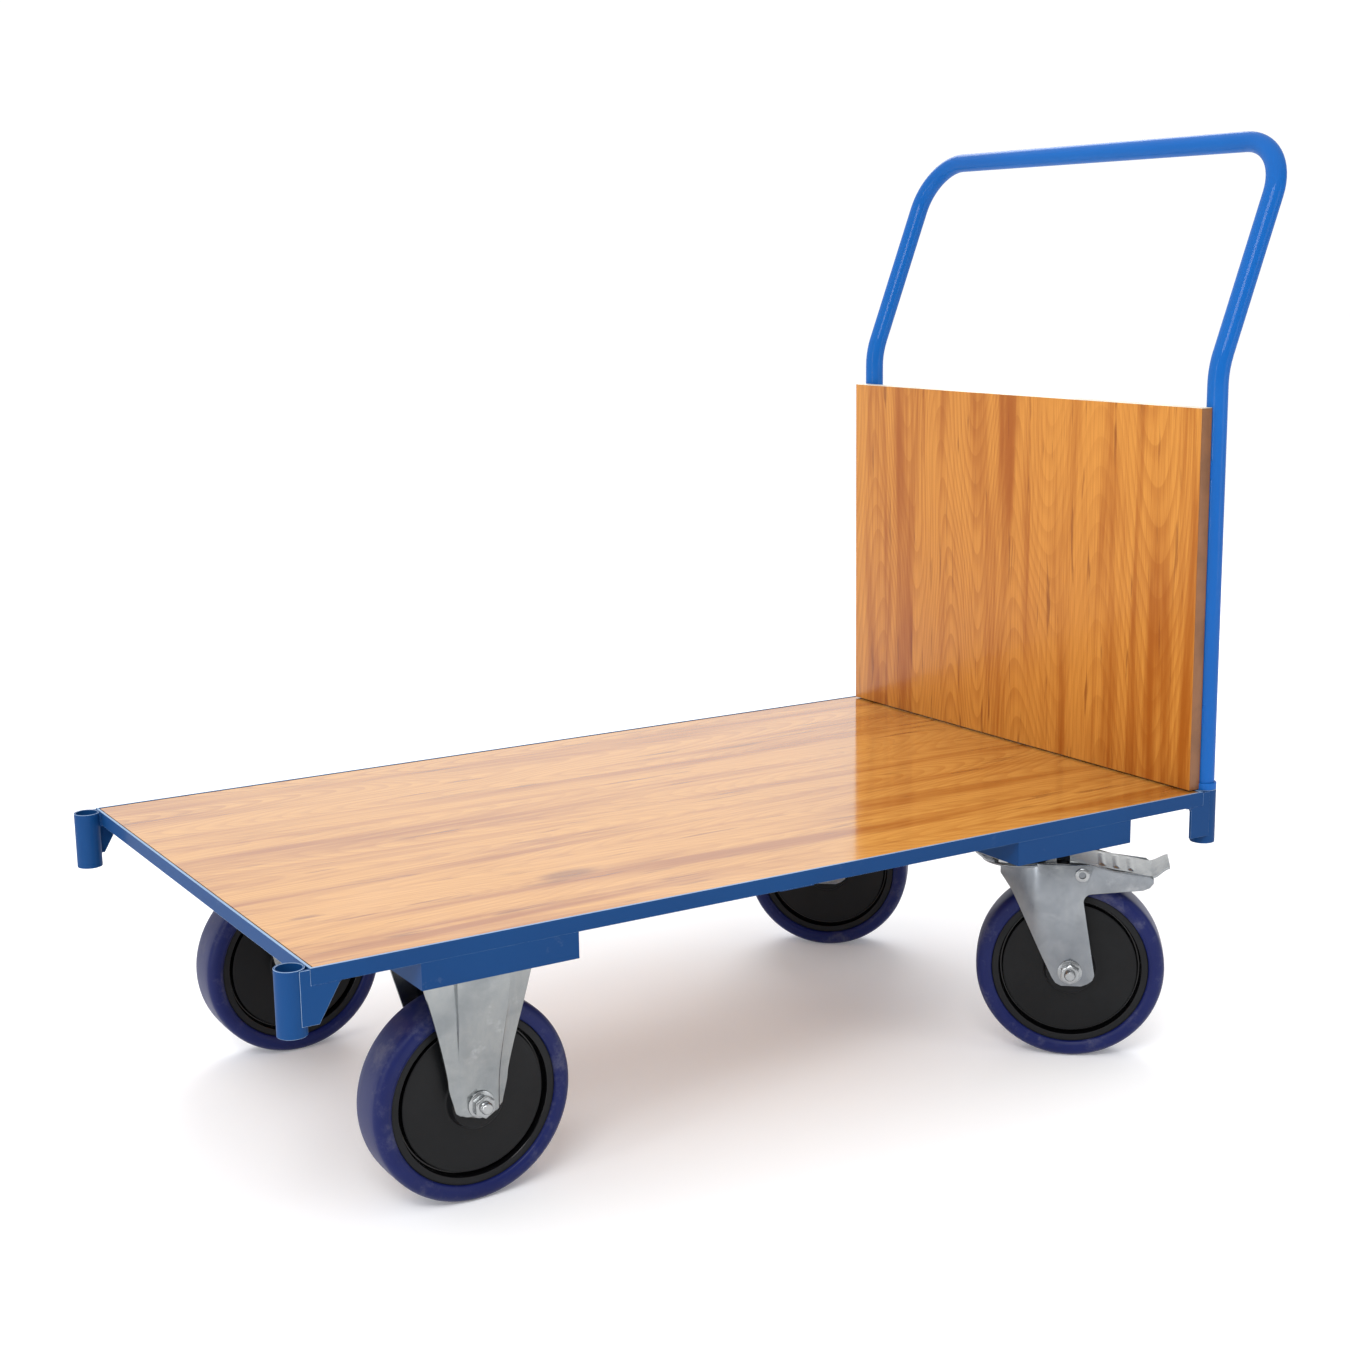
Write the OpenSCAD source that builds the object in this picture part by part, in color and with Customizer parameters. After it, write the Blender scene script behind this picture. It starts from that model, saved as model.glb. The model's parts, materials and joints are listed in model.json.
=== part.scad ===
// Flatbed platform truck: steel angle frame with an inset laminate deck, four corner sleeves,
// a lift-out push bar with a back board, two fixed casters in front and two braked swivel
// casters behind. Millimetres, +Z up, push bar at +X, left side at -Y, floor at z = 0.

/* [Frame] */
// Length of the frame over the end rails
frame_l = 1024; // [900:1:1300]
// Width of the frame over the side rails
frame_w = 627; // [540:1:800]
// Height of the rail's upright leg
rail_h = 15; // [15:0.5:30]
// Width of the rail's flat leg under the deck
rail_flange = 30; // [24:1:40]
// Thickness of the rail steel
rail_t = 2.5; // [2:0.1:3]
// Thickness of the deck board
deck_t = 12; // [9:0.5:12]
// Gap round the deck board inside the rails
deck_gap = 1.2; // [0.8:0.1:3]
// Width of the stiffener tube across the middle
stiffener_w = 40; // [30:1:60]
// Height of the stiffener tube
stiffener_h = 15; // [12:1:25]
// Diameter of the deck screw shanks
deck_screw_d = 4; // [3:0.5:5]

/* [Cross channels] */
// Length of a caster channel along the truck
channel_l = 154; // [146:1:200]
// Height of a caster channel
channel_h = 25; // [24:1:50]
// Thickness of the channel steel
channel_t = 3; // [2:0.5:4]
// Distance from the frame's front end to the fixed casters
front_inset = 177; // [150:1:240]
// Distance from the swivel pivots to the frame's rear end
rear_inset = 182; // [150:1:240]
// Distance from the frame's side to the middle of each caster plate
side_inset = 89; // [70:1:110]

/* [Corner sleeves] */
// Outer diameter of a corner sleeve
sleeve_od = 26.5; // [26:0.1:32]
// Wall thickness of a corner sleeve
sleeve_wall = 1.75; // [1.5:0.05:2]
// Height of a corner sleeve
sleeve_h = 59.5; // [50:0.5:80]
// Gap between a sleeve and the end rail, filled by the gusset
sleeve_gap = 0.5; // [0.2:0.1:3]
// Thickness of a gusset plate
gusset_t = 3; // [2:0.5:4]
// Height of a gusset plate below the frame's top
gusset_h = 50; // [36:1:56]
// Reach of a front gusset along the side rail
front_gusset_l = 26; // [18:1:50]
// Reach of a front gusset at its lower edge
front_gusset_foot = 6; // [3:1:14]
// Reach of a rear gusset along the side rail
rear_gusset_l = 17; // [12:1:40]

/* [Push bar] */
// Outer diameter of the bent tube
tube_od = 22; // [18:0.5:22]
// Wall thickness of the bent tube
tube_wall = 2; // [1.5:0.1:3]
// Depth that each leg stands in its sleeve
leg_depth = 55; // [35:1:56]
// Height of the backward bend above the frame's top
bend_h = 452.5; // [430:0.5:600]
// Height of the cross bar's middle above the frame's top
bar_h = 688; // [620:1:900]
// Angle of the upper legs from upright
bar_lean = 21.5; // [10:0.5:35]
// Radius of the backward bend, at the tube's middle line
lower_bend_r = 90; // [50:1:120]
// Radius of the two top corners, at the tube's middle line
corner_r = 61; // [40:1:100]
// Height of the stop collar on each leg
collar_h = 7.5; // [5:0.5:12]
// Height of the back board
board_h = 412; // [300:1:415]
// Width of the back board
board_w = 610; // [500:1:780]
// Thickness of the back board
board_t = 15; // [12:0.5:20]
// Height of each tab behind the board
tab_h = 20; // [14:1:30]
// Reach of each tab from its leg's axis
tab_l = 42; // [36:1:60]
// Diameter of the tab screws
tab_screw_d = 5; // [4:0.5:6]

/* [Casters] */
// Diameter of the wheels
wheel_d = 200; // [160:1:240]
// Width of the tyre
tyre_w = 50; // [40:1:52]
// Height from the top of the tyre to the top of the caster plate
head_h = 40; // [38:1:60]
// Distance from the swivel pivot back to the axle
trail = 56; // [50:1:64]
// Angle that the swivel casters are turned to, from straight back
swivel_turn = -41; // [-180:1:180]
// Length of the caster plate along the truck
plate_l = 140; // [130:1:146]
// Width of the caster plate
plate_w = 110; // [106:1:120]
// Thickness of the caster plate
plate_t = 4; // [3:0.5:6]
// Distance between the plate's bolt holes along the truck
bolt_x = 105; // [100:1:115]
// Distance between the plate's bolt holes across the truck
bolt_y = 80; // [75:1:90]
// Diameter of the caster bolts
bolt_d = 10; // [8:1:10]
// Clear width between the fork legs
fork_gap = 64; // [62:1:76]
// Thickness of the fork steel
fork_t = 3.5; // [3:0.5:5]
// Diameter of the axle bolt
axle_d = 12; // [10:1:12]
// Outer diameter of the spacer tube that the roller bearing turns on
spacer_d = 20; // [18:1:24]
// Diameter of the hollow pin that carries the brake pedal
pin_d = 12; // [10:0.5:14]

/* [Clearances] */
// Radial clearance of the roller bearing on its spacer, of the pedal on its pin and of the king pin
run_clear = 0.05; // [0.02:0.01:0.1]
// Radial clearance of a bolt or screw in its hole
hole_clear = 0.25; // [0.1:0.05:0.6]
// Gap between parts that move past each other face to face
face_gap = 0.4; // [0.2:0.1:1]
// Gap between the stop collars and the sleeves that they rest on
seat_gap = 0.1; // [0.05:0.05:0.5]
// Gap between the back board and what it stands on
board_gap = 1; // [0.5:0.5:4]

/* [Hidden] */
$fn = 64;

left = -1;
right = 1;
hoop_slip = 0.1;                              // the hoop is this much thinner where it starts in the bends
join = 0.5;                                   // overlap inside one solid
half_w = frame_w / 2;
wheel_r = wheel_d / 2;
plate_top = wheel_d + head_h;                 // underside of the channels
plate_low = plate_top - plate_t;
rail_low = plate_top + channel_h;
frame_top = rail_low + rail_h;
deck_low = rail_low + rail_t;

sleeve_r = sleeve_od / 2;
sleeve_ri = sleeve_r - sleeve_wall;
sleeve_y = half_w - sleeve_r;
front_sleeve_x = -sleeve_gap - sleeve_r;
rear_sleeve_x = frame_l + sleeve_gap + sleeve_r;

tube_r = tube_od / 2;
lean_run = (bar_h - bend_h) * tan(bar_lean);  // how far the cross bar stands behind the legs
bar_x = rear_sleeve_x + lean_run;
bend_tangent = lower_bend_r * tan(bar_lean / 2);
slant_l = (bar_h - bend_h) / cos(bar_lean);   // from the bend's corner to the cross bar

board_low = frame_top + board_gap;
tube_touch = 0.2;                             // gap between the tube and the board
board_back = rear_sleeve_x - tube_r - tube_touch;
board_front = board_back - board_t;
tab_zs = [board_low + 0.2 * board_h, board_low + 0.84 * board_h];
tab_t = 2;
tab_screw_ys = [-tab_l + 7, -tab_l + 23];      // seen from the leg's axis
tab_screw_in = 11;                            // how deep a tab screw goes into the board

front_caster_x = front_inset;
rear_caster_x = frame_l - rear_inset;
caster_y = half_w - side_inset;
fork_in = fork_gap / 2;
axle_r = axle_d / 2;
spacer_r = spacer_d / 2;
bearing_r = spacer_r + 6;
hub_half = fork_in - 2.5;
crown_top = wheel_r + 19;                     // swivel fork heights are above the axle
crown_t = 4;
crown_r = 40;
king_pin_r = 6;
pin_r = pin_d / 2;
pin_x = 11;                                   // brake pin, behind and above the axle
pin_z = wheel_r + 2.5 + pin_r;
deck_screw_inset = 40;                        // from the frame's ends
deck_screw_xs = [deck_screw_inset, frame_l / 2 + stiffener_w, frame_l - deck_screw_inset];
deck_screw_in = 8.4;                          // how deep a deck screw goes into the board
seat_r = wheel_r - 17;                        // where the tyre sits on the rim
pedal_half = fork_in - 1.5;
pedal_x1 = trail + 83;                        // where the pedal's tread ends and its lip starts
lip_x = 18;
lip_z = 9;
edge_t = 3;                                   // thickness of the pedal's sheet

x_min = front_sleeve_x - sleeve_r;
x_max = bar_x + tube_r - hoop_slip;
shift_x = -(x_min + x_max) / 2;               // puts the origin under the middle of the truck's box
pedal_reach = pedal_x1 + lip_x + 1;           // from the pivot to the end of the lip
swing = pedal_reach * abs(sin(swivel_turn)) + pedal_half * abs(cos(swivel_turn));
shift_y = -sign(swivel_turn) * max(0, caster_y + swing - half_w) / 2; // a turned pedal reaches past one side

paint_blue = "#1f4a80";
bar_blue = "#0a5fc0";
laminate = "#c08040";
zinc = "#9aa0a0";
tyre_blue = "#283280";
rim_black = "#1c1c1e";

module place() { translate([shift_x, shift_y, 0]) children(); }

module at_fixed(side) { place() translate([front_caster_x, side * caster_y, 0]) children(); }

module at_swivel(side) {
    place() translate([rear_caster_x, side * caster_y, 0]) rotate([0, 0, swivel_turn]) children();
}

module at_fixed_axle(side) { at_fixed(side) translate([0, 0, wheel_r]) children(); }

module at_swivel_axle(side) { at_swivel(side) translate([trail, 0, wheel_r]) children(); }

// a cylinder along Y from y0 to y1
module y_rod(r, y0, y1) { translate([0, y0, 0]) rotate([-90, 0, 0]) cylinder(r = r, h = y1 - y0); }

// a hexagon prism along Y, with its width across flats
module y_hex(flats, y0, y1) {
    translate([0, y0, 0]) rotate([-90, 0, 0]) cylinder(r = flats / sqrt(3), h = y1 - y0, $fn = 6);
}

// a ring about Z
module ring(r_out, r_in, z0, z1) {
    translate([0, 0, z0]) difference() {
        cylinder(r = r_out, h = z1 - z0);
        translate([0, 0, -1]) cylinder(r = r_in, h = z1 - z0 + 2);
    }
}

// a plate drawn in X and Z, from y0 to y1
module xz_plate(y0, y1) { translate([0, y1, 0]) rotate([90, 0, 0]) linear_extrude(y1 - y0) children(); }

// the four bolt places of a caster plate
module plate_bolts() {
    for (sx = [-1, 1], sy = [-1, 1]) translate([sx * bolt_x / 2, sy * bolt_y / 2, 0]) children();
}

// all sixteen bolt places of the truck
module all_bolts() {
    for (x = [front_caster_x, rear_caster_x], side = [left, right])
        translate([x, side * caster_y, 0]) plate_bolts() children();
}

module deck_screw_places() {
    for (x = deck_screw_xs, side = [left, right])
        translate([x, side * (half_w - rail_flange / 2), 0]) children();
}

// the middle of each tab, on its leg's axis, with +Y pointing out
module tab_places() {
    for (z = tab_zs, side = [left, right]) translate([rear_sleeve_x, side * sleeve_y, z])
        mirror([0, side > 0 ? 0 : 1, 0]) children();
}

/* frame */

module side_rail(side) {
    hole_r = deck_screw_d / 2 + hole_clear;
    color(paint_blue) place() difference() {
        union() {
            translate([0, side > 0 ? half_w - rail_t : -half_w, rail_low]) cube([frame_l, rail_t, rail_h]);
            translate([rail_t, side > 0 ? half_w - rail_flange : -half_w, rail_low])
                cube([frame_l - 2 * rail_t, rail_flange, rail_t]);
        }
        deck_screw_places() translate([0, 0, rail_low - 1]) cylinder(r = hole_r, h = rail_t + 2);
    }
}
module left_side_rail() { side_rail(left); }
module right_side_rail() { side_rail(right); }

module end_rail(x_face, inward) {
    color(paint_blue) place() {
        translate([inward > 0 ? x_face : x_face - rail_t, -half_w + rail_t, rail_low])
            cube([rail_t, frame_w - 2 * rail_t, rail_h]);
        translate([inward > 0 ? x_face : x_face - rail_flange, -half_w + rail_flange, rail_low])
            cube([rail_flange, frame_w - 2 * rail_flange, rail_t]);
    }
}
module front_rail() { end_rail(0, 1); }
module rear_rail() { end_rail(frame_l, -1); }

module cross_channel(x) {
    hole_r = bolt_d / 2 + hole_clear;
    color(paint_blue) place() difference() {
        translate([x - channel_l / 2, -half_w, plate_top]) cube([channel_l, frame_w, channel_h]);
        translate([x - channel_l / 2 + channel_t, -half_w + channel_t, plate_top + channel_t])
            cube([channel_l - 2 * channel_t, frame_w - 2 * channel_t, channel_h]);
        all_bolts() translate([0, 0, plate_top - 1]) cylinder(r = hole_r, h = channel_t + 2);
    }
}
module front_cross_channel() { cross_channel(front_caster_x); }
module rear_cross_channel() { cross_channel(rear_caster_x); }

module deck_stiffener() {
    span = frame_w - 2 * rail_flange;
    wall = 2;
    corner = [(frame_l - stiffener_w) / 2, -span / 2, deck_low - stiffener_h];
    color(paint_blue) place() translate(corner) difference() {
        cube([stiffener_w, span, stiffener_h]);
        translate([wall, -1, wall]) cube([stiffener_w - 2 * wall, span + 2, stiffener_h - 2 * wall]);
    }
}

module deck_board() {
    edge = rail_t + deck_gap;
    hole_r = deck_screw_d / 2 + run_clear;
    color(laminate) place() difference() {
        translate([edge, -half_w + edge, deck_low]) cube([frame_l - 2 * edge, frame_w - 2 * edge, deck_t]);
        deck_screw_places() translate([0, 0, deck_low - 1]) cylinder(r = hole_r, h = deck_screw_in + 1.5);
    }
}

module deck_screws() {
    cap_h = 2;
    cap_r = deck_screw_d;
    color(zinc) place() deck_screw_places() translate([0, 0, rail_low - cap_h]) {
        cylinder(r = cap_r, h = cap_h);
        cylinder(r = deck_screw_d / 2, h = cap_h + rail_t + deck_screw_in);
    }
}

module sleeve(x, side) {
    color(paint_blue) place() translate([x, side * sleeve_y, 0])
        ring(sleeve_r, sleeve_ri, frame_top - sleeve_h, frame_top);
}
module front_left_sleeve() { sleeve(front_sleeve_x, left); }
module front_right_sleeve() { sleeve(front_sleeve_x, right); }
module rear_left_sleeve() { sleeve(rear_sleeve_x, left); }
module rear_right_sleeve() { sleeve(rear_sleeve_x, right); }

// one side's gusset: its outline is in X from the frame's end and Z, its end follows the sleeve
module gusset(side, sleeve_x) {
    y_out = side * half_w;
    difference() {
        xz_plate(side > 0 ? y_out - gusset_t : y_out, side > 0 ? y_out : y_out + gusset_t) children();
        translate([sleeve_x, side * sleeve_y, 0]) cylinder(r = sleeve_r + run_clear, h = frame_top + 1);
    }
}

module front_gussets() {
    back = front_sleeve_x + 4;
    low = frame_top - gusset_h;
    outline = [
        [back, frame_top - 1], [-run_clear, frame_top - 1], [-run_clear, rail_low],
        [front_gusset_l, rail_low], [front_gusset_l, rail_low - 1], [front_gusset_foot, low], [back, low]
    ];
    color(paint_blue) place() for (side = [left, right]) gusset(side, front_sleeve_x) polygon(outline);
}

module rear_gussets() {
    back = rear_sleeve_x - 4;
    low = frame_top - gusset_h;
    end = frame_l + run_clear;
    blend = 6;
    inner_x = frame_l - rear_gusset_l;
    bend_in = [for (a = [0 : 15 : 90]) [inner_x - blend + blend * sin(a), rail_low - blend + blend * cos(a)]];
    top = [[back, frame_top - 1], [end, frame_top - 1], [end, rail_low]];
    outline = concat(top, bend_in, [[inner_x, low], [back, low]]);
    color(paint_blue) place() for (side = [left, right]) gusset(side, rear_sleeve_x) polygon(outline);
}

module caster_bolts() {
    flats = 16;
    head_t = 6;
    end_z = plate_top + channel_t + 13;
    color(zinc) place() all_bolts() {
        translate([0, 0, plate_low - head_t]) cylinder(r = flats / sqrt(3), h = head_t, $fn = 6);
        translate([0, 0, plate_low - join]) cylinder(r = bolt_d / 2, h = end_z - plate_low + join);
    }
}

module caster_nuts() {
    flats = 16;
    nut_h = 8;
    washer_h = 2;
    low = plate_top + channel_t;
    color(zinc) place() all_bolts() difference() {
        union() {
            translate([0, 0, low]) cylinder(r = bolt_d, h = washer_h);
            translate([0, 0, low + washer_h - join])
                cylinder(r = flats / sqrt(3), h = nut_h + join, $fn = 6);
        }
        translate([0, 0, low - 1]) cylinder(r = bolt_d / 2 + run_clear, h = washer_h + nut_h + 2);
    }
}

/* push bar */

// a round bar bent away from +Z towards +X, on its own start
module bend(bend_r, angle, r) {
    translate([bend_r, 0, 0]) rotate([90, 0, 180])
        rotate_extrude(angle = angle) translate([bend_r, 0]) circle(r = r);
}

// the whole push bar as a round bar: two legs with their lower bends, then the leaning hoop
module bar_shape(r) {
    leg_l = leg_depth + bend_h - bend_tangent;
    slant = slant_l - bend_tangent - corner_r;
    hoop_r = r - hoop_slip;
    for (side = [left, right]) translate([rear_sleeve_x, side * sleeve_y, frame_top - leg_depth]) {
        cylinder(r = r, h = leg_l);
        translate([0, 0, leg_l]) bend(lower_bend_r, bar_lean, r);
    }
    translate([rear_sleeve_x, 0, frame_top + bend_h]) rotate([0, bar_lean, 0]) {
        for (side = [left, right]) translate([0, side * sleeve_y, 0]) {
            translate([0, 0, bend_tangent - join]) cylinder(r = hoop_r, h = slant + join);
            translate([0, 0, bend_tangent + slant]) rotate([0, 0, side * -90]) bend(corner_r, 90, hoop_r);
        }
        translate([0, -sleeve_y + corner_r, slant_l]) rotate([-90, 0, 0])
            cylinder(r = hoop_r, h = 2 * (sleeve_y - corner_r));
    }
}

module push_bar_tube() {
    color(bar_blue) place() difference() {
        bar_shape(tube_r);
        bar_shape(tube_r - tube_wall);
    }
}

// the board is cut away at its foot round the stop collars
module back_board() {
    collar_top = frame_top + seat_gap + collar_h;
    color(laminate) place() difference() {
        translate([board_front, -board_w / 2, board_low]) cube([board_t, board_w, board_h]);
        for (side = [left, right]) translate([rear_sleeve_x, side * sleeve_y, 0])
            cylinder(r = sleeve_r + face_gap, h = collar_top + face_gap);
        tab_places() for (y = tab_screw_ys)
            translate([board_back - rear_sleeve_x + 1, y, 0]) rotate([0, -90, 0])
                cylinder(r = tab_screw_d / 2 + run_clear, h = tab_screw_in + 1.5);
    }
}

module stop_collars() {
    low = frame_top + seat_gap;
    color(bar_blue) place() for (side = [left, right]) translate([rear_sleeve_x, side * sleeve_y, 0])
        ring(sleeve_r, tube_r + run_clear, low, low + collar_h);
}

// flat tabs welded to the tube and screwed to the board's back
module board_tabs() {
    color(bar_blue) place() tab_places() difference() {
        translate([board_back - rear_sleeve_x, -tab_l, -tab_h / 2]) cube([tab_t, tab_l + tube_r / 2, tab_h]);
        translate([0, 0, -tab_h]) cylinder(r = tube_r + run_clear, h = 2 * tab_h);
        for (y = tab_screw_ys) translate([board_back - rear_sleeve_x - 1, y, 0]) rotate([0, 90, 0])
            cylinder(r = tab_screw_d / 2 + hole_clear, h = tab_t + 2);
    }
}

module tab_screws() {
    cap_h = 2.5;
    cap_r = tab_screw_d - join;
    shank = tab_t + tab_screw_in + join;
    color(zinc) place() tab_places() for (y = tab_screw_ys)
        translate([board_back - rear_sleeve_x + tab_t, y, 0]) {
            rotate([0, 90, 0]) cylinder(r = cap_r, h = cap_h);
            translate([join, 0, 0]) rotate([0, -90, 0]) cylinder(r = tab_screw_d / 2, h = shank);
        }
}

/* wheels: each is drawn about its own axle, which lies along Y */

module wheel_turned() { rotate([90, 0, 0]) rotate_extrude() children(); }

module tyre() {
    half = tyre_w / 2;
    shoulder = 9;
    r = wheel_r - shoulder;
    y = half - shoulder;
    right_edge = [for (a = [0 : 18 : 90]) [r + shoulder * sin(a), y + shoulder * cos(a)]];
    left_edge = [for (a = [90 : -18 : 0]) [r + shoulder * sin(a), -y - shoulder * cos(a)]];
    outline = concat([[seat_r, half - 2]], right_edge, left_edge, [[seat_r, -half + 2]]);
    color(tyre_blue) wheel_turned() polygon(outline);
}

// a flat disc with a round hub boss, and a groove between the disc and the flange under the tyre
module rim() {
    flange = tyre_w / 2 - 3;
    disc = flange - 3;
    groove = flange - 11;
    hub_wall = 10;
    flange_w = 7;
    groove_w = 8;
    slope = 1.5;
    side = [
        [bearing_r, hub_half], [bearing_r + hub_wall, hub_half], [bearing_r + hub_wall + 2, disc],
        [seat_r - flange_w - groove_w, disc], [seat_r - flange_w - groove_w + slope, groove],
        [seat_r - flange_w - slope, groove], [seat_r - flange_w, flange], [seat_r, flange]
    ];
    other = [for (i = [len(side) - 1 : -1 : 0]) [side[i][0], -side[i][1]]];
    color(rim_black) wheel_turned() polygon(concat(side, other));
}

module bearing() {
    half = hub_half - 0.5;
    r = spacer_r + run_clear;
    color(zinc) wheel_turned() translate([r, -half]) square([bearing_r - r, 2 * half]);
}

module spacer() {
    half = fork_in - run_clear;
    r = axle_r + hole_clear;
    color(zinc) wheel_turned() translate([r, -half]) square([spacer_r - r, 2 * half]);
}

// the axle bolt, its nut on the side named by out
module axle_bolt(out) {
    nut_h = 10;
    face = fork_in + fork_t;
    color(zinc) mirror([0, out > 0 ? 1 : 0, 0]) {
        y_rod(axle_r, -face - nut_h - 5, face + join);
        y_hex(19, face, face + 7.5);
    }
}

module axle_nut(out) {
    nut_h = 10;
    face = fork_in + fork_t;
    color(zinc) mirror([0, out > 0 ? 1 : 0, 0]) difference() {
        y_hex(19, -face - nut_h, -face);
        y_rod(axle_r + run_clear, -face - nut_h - 1, -face + 1);
    }
}

/* casters: drawn about the middle of the plate, on the floor */

module caster_plate() {
    hole_r = bolt_d / 2 + hole_clear;
    difference() {
        translate([-plate_l / 2, -plate_w / 2, plate_low]) cube([plate_l, plate_w, plate_t]);
        plate_bolts() translate([0, 0, plate_low - 1]) cylinder(r = hole_r, h = plate_t + 2);
    }
}

// a fixed fork: legs that step in from the plate's edges to the hub
module fixed_fork() {
    foot = wheel_r - 10;
    step_z = wheel_r + 25;
    foot_half = 23.5;
    top_half = plate_l / 2 - 12;
    top_in = plate_w / 2 - 6;
    top = plate_low + join;
    blend = 7;
    corner = [for (a = [0 : 18 : 90]) [foot_half - blend + blend * sin(a), foot + blend - blend * cos(a)]];
    other = [for (i = [len(corner) - 1 : -1 : 0]) [-corner[i][0], corner[i][1]]];
    front_view = concat(corner, [[top_half, top], [-top_half, top]], other);
    fork_out = fork_in + fork_t;
    step_out = top_in + fork_t;
    color(zinc) {
        caster_plate();
        difference() {
            intersection() {
                for (side = [left, right]) translate([-plate_l / 2, 0, 0]) rotate([90, 0, 90])
                    linear_extrude(plate_l) polygon([
                        [side * fork_in, foot - 1], [side * fork_out, foot - 1], [side * fork_out, step_z],
                        [side * step_out, top], [side * top_in, top], [side * fork_in, step_z]
                    ]);
                xz_plate(-plate_w, plate_w) polygon(front_view);
            }
            translate([0, 0, wheel_r]) y_rod(axle_r + hole_clear, -plate_w, plate_w);
        }
    }
}

// the swivel caster's fixed plate with the king pin riveted into it
module swivel_plate() {
    head_t = 6;
    head_r = 11;
    crown_low = wheel_r + crown_top - crown_t;
    pin_low = crown_low - head_t;
    color(zinc) {
        caster_plate();
        translate([0, 0, pin_low - face_gap]) cylinder(r = head_r, h = head_t);
        translate([0, 0, pin_low]) cylinder(r = king_pin_r, h = plate_low + join - pin_low);
    }
}

module ball_race() {
    race_r = 30;
    color(zinc) ring(race_r, king_pin_r + hole_clear, wheel_r + crown_top + face_gap, plate_low);
}

// a swivel fork: a round crown and two side plates with long arms for the brake
module swivel_fork() {
    front = -19;
    crown_end = trail - 10;
    crown_low = wheel_r + crown_top - crown_t;
    foot = -16;
    arm_low = wheel_r - 10;
    arm_end = trail + 85;
    heel = trail + 25;
    blend = 9;
    knee_x = heel - 12 + blend;
    knee_z = arm_low - blend - 3;
    knee = [for (a = [0 : 18 : 90]) [knee_x - blend * cos(a), knee_z + blend * sin(a)]];
    toe = [
        [front, crown_top], [front, crown_top - 14], [front + 13, crown_top - 34], [trail - 19, foot + 9],
        [trail - 12, foot], [trail + 17, foot], [heel - 1, foot + 6], [heel, foot + 11]
    ];
    arm = [
        [arm_end - 7, arm_low + 6], [arm_end, arm_low + 12], [arm_end - 7, arm_low + 19], [heel - 2, crown_top]
    ];
    color(zinc) difference() {
        union() {
            for (y = [-fork_in - fork_t, fork_in]) translate([0, 0, wheel_r])
                xz_plate(y, y + fork_t) polygon(concat(toe, knee, arm));
            translate([0, 0, crown_low]) cylinder(r = crown_r, h = crown_t);
            translate([front, -fork_in - join, crown_low])
                cube([crown_end - front, fork_gap + 2 * join, crown_t]);
        }
        translate([0, 0, crown_low - 1]) cylinder(r = king_pin_r + run_clear, h = crown_t + 2);
        translate([trail, 0, wheel_r]) y_rod(axle_r + hole_clear, -fork_gap, fork_gap);
        translate([trail + pin_x, 0, wheel_r + pin_z]) y_rod(pin_r + run_clear, -fork_gap, fork_gap);
    }
}

module pedal_pin() {
    half = fork_in + fork_t + 1;
    wall = 2.2;
    color(zinc) translate([trail + pin_x, 0, wheel_r + pin_z]) difference() {
        y_rod(pin_r, -half, half);
        y_rod(pin_r - wall, -half - 1, half + 1);
    }
}

// the brake pedal: two cheeks on the pin, a sloping tread between the fork's arms, and a raised lip
module pedal() {
    x0 = trail - 2;
    x1 = pedal_x1;
    z0 = wheel_r + 22;
    z1 = wheel_r + 8;
    lip = [x1 + lip_x, z1 + lip_z];
    eye_x = trail + pin_x;
    eye_wall = 3;
    shoe_half = 20;
    shoe_x = [trail + 32, trail + 50];
    slope = (z1 - z0) / (x1 - x0);
    tread = [[x0, z0], [x1, z1], lip, [lip[0] + 1, lip[1] - edge_t], [x1 + 1, z1 - edge_t], [x0, z0 - edge_t]];
    cheek = [[x0, z0 - 1], [x1 - 8, z1 - 0.2], [x1 - 12, z1 - 7], [eye_x + 8, pin_z - 4], [x0, z0 - 8]];
    shoe = [
        [shoe_x[0], wheel_r + 0.5], [shoe_x[1], wheel_r - 2.5],
        [shoe_x[1], z0 + slope * (shoe_x[1] - x0) - 1], [shoe_x[0], z0 + slope * (shoe_x[0] - x0) - 1]
    ];
    color(zinc) translate([0, 0, wheel_r]) difference() {
        union() {
            xz_plate(-pedal_half, pedal_half) polygon(tread);
            for (y = [-pedal_half, pedal_half - edge_t]) {
                xz_plate(y, y + edge_t) polygon(cheek);
                translate([eye_x, 0, pin_z]) y_rod(pin_r + eye_wall, y, y + edge_t);
            }
            xz_plate(-shoe_half, shoe_half) polygon(shoe);
        }
        translate([eye_x, 0, pin_z]) y_rod(pin_r + run_clear, -fork_gap, fork_gap);
    }
}

module front_left_fork() { at_fixed(left) fixed_fork(); }
module front_left_axle_bolt() { at_fixed_axle(left) axle_bolt(left); }
module front_left_axle_nut() { at_fixed_axle(left) axle_nut(left); }
module front_left_spacer() { at_fixed_axle(left) spacer(); }
module front_left_tyre() { at_fixed_axle(left) tyre(); }
module front_left_rim() { at_fixed_axle(left) rim(); }
module front_left_bearing() { at_fixed_axle(left) bearing(); }

module front_right_fork() { at_fixed(right) fixed_fork(); }
module front_right_axle_bolt() { at_fixed_axle(right) axle_bolt(right); }
module front_right_axle_nut() { at_fixed_axle(right) axle_nut(right); }
module front_right_spacer() { at_fixed_axle(right) spacer(); }
module front_right_tyre() { at_fixed_axle(right) tyre(); }
module front_right_rim() { at_fixed_axle(right) rim(); }
module front_right_bearing() { at_fixed_axle(right) bearing(); }

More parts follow.
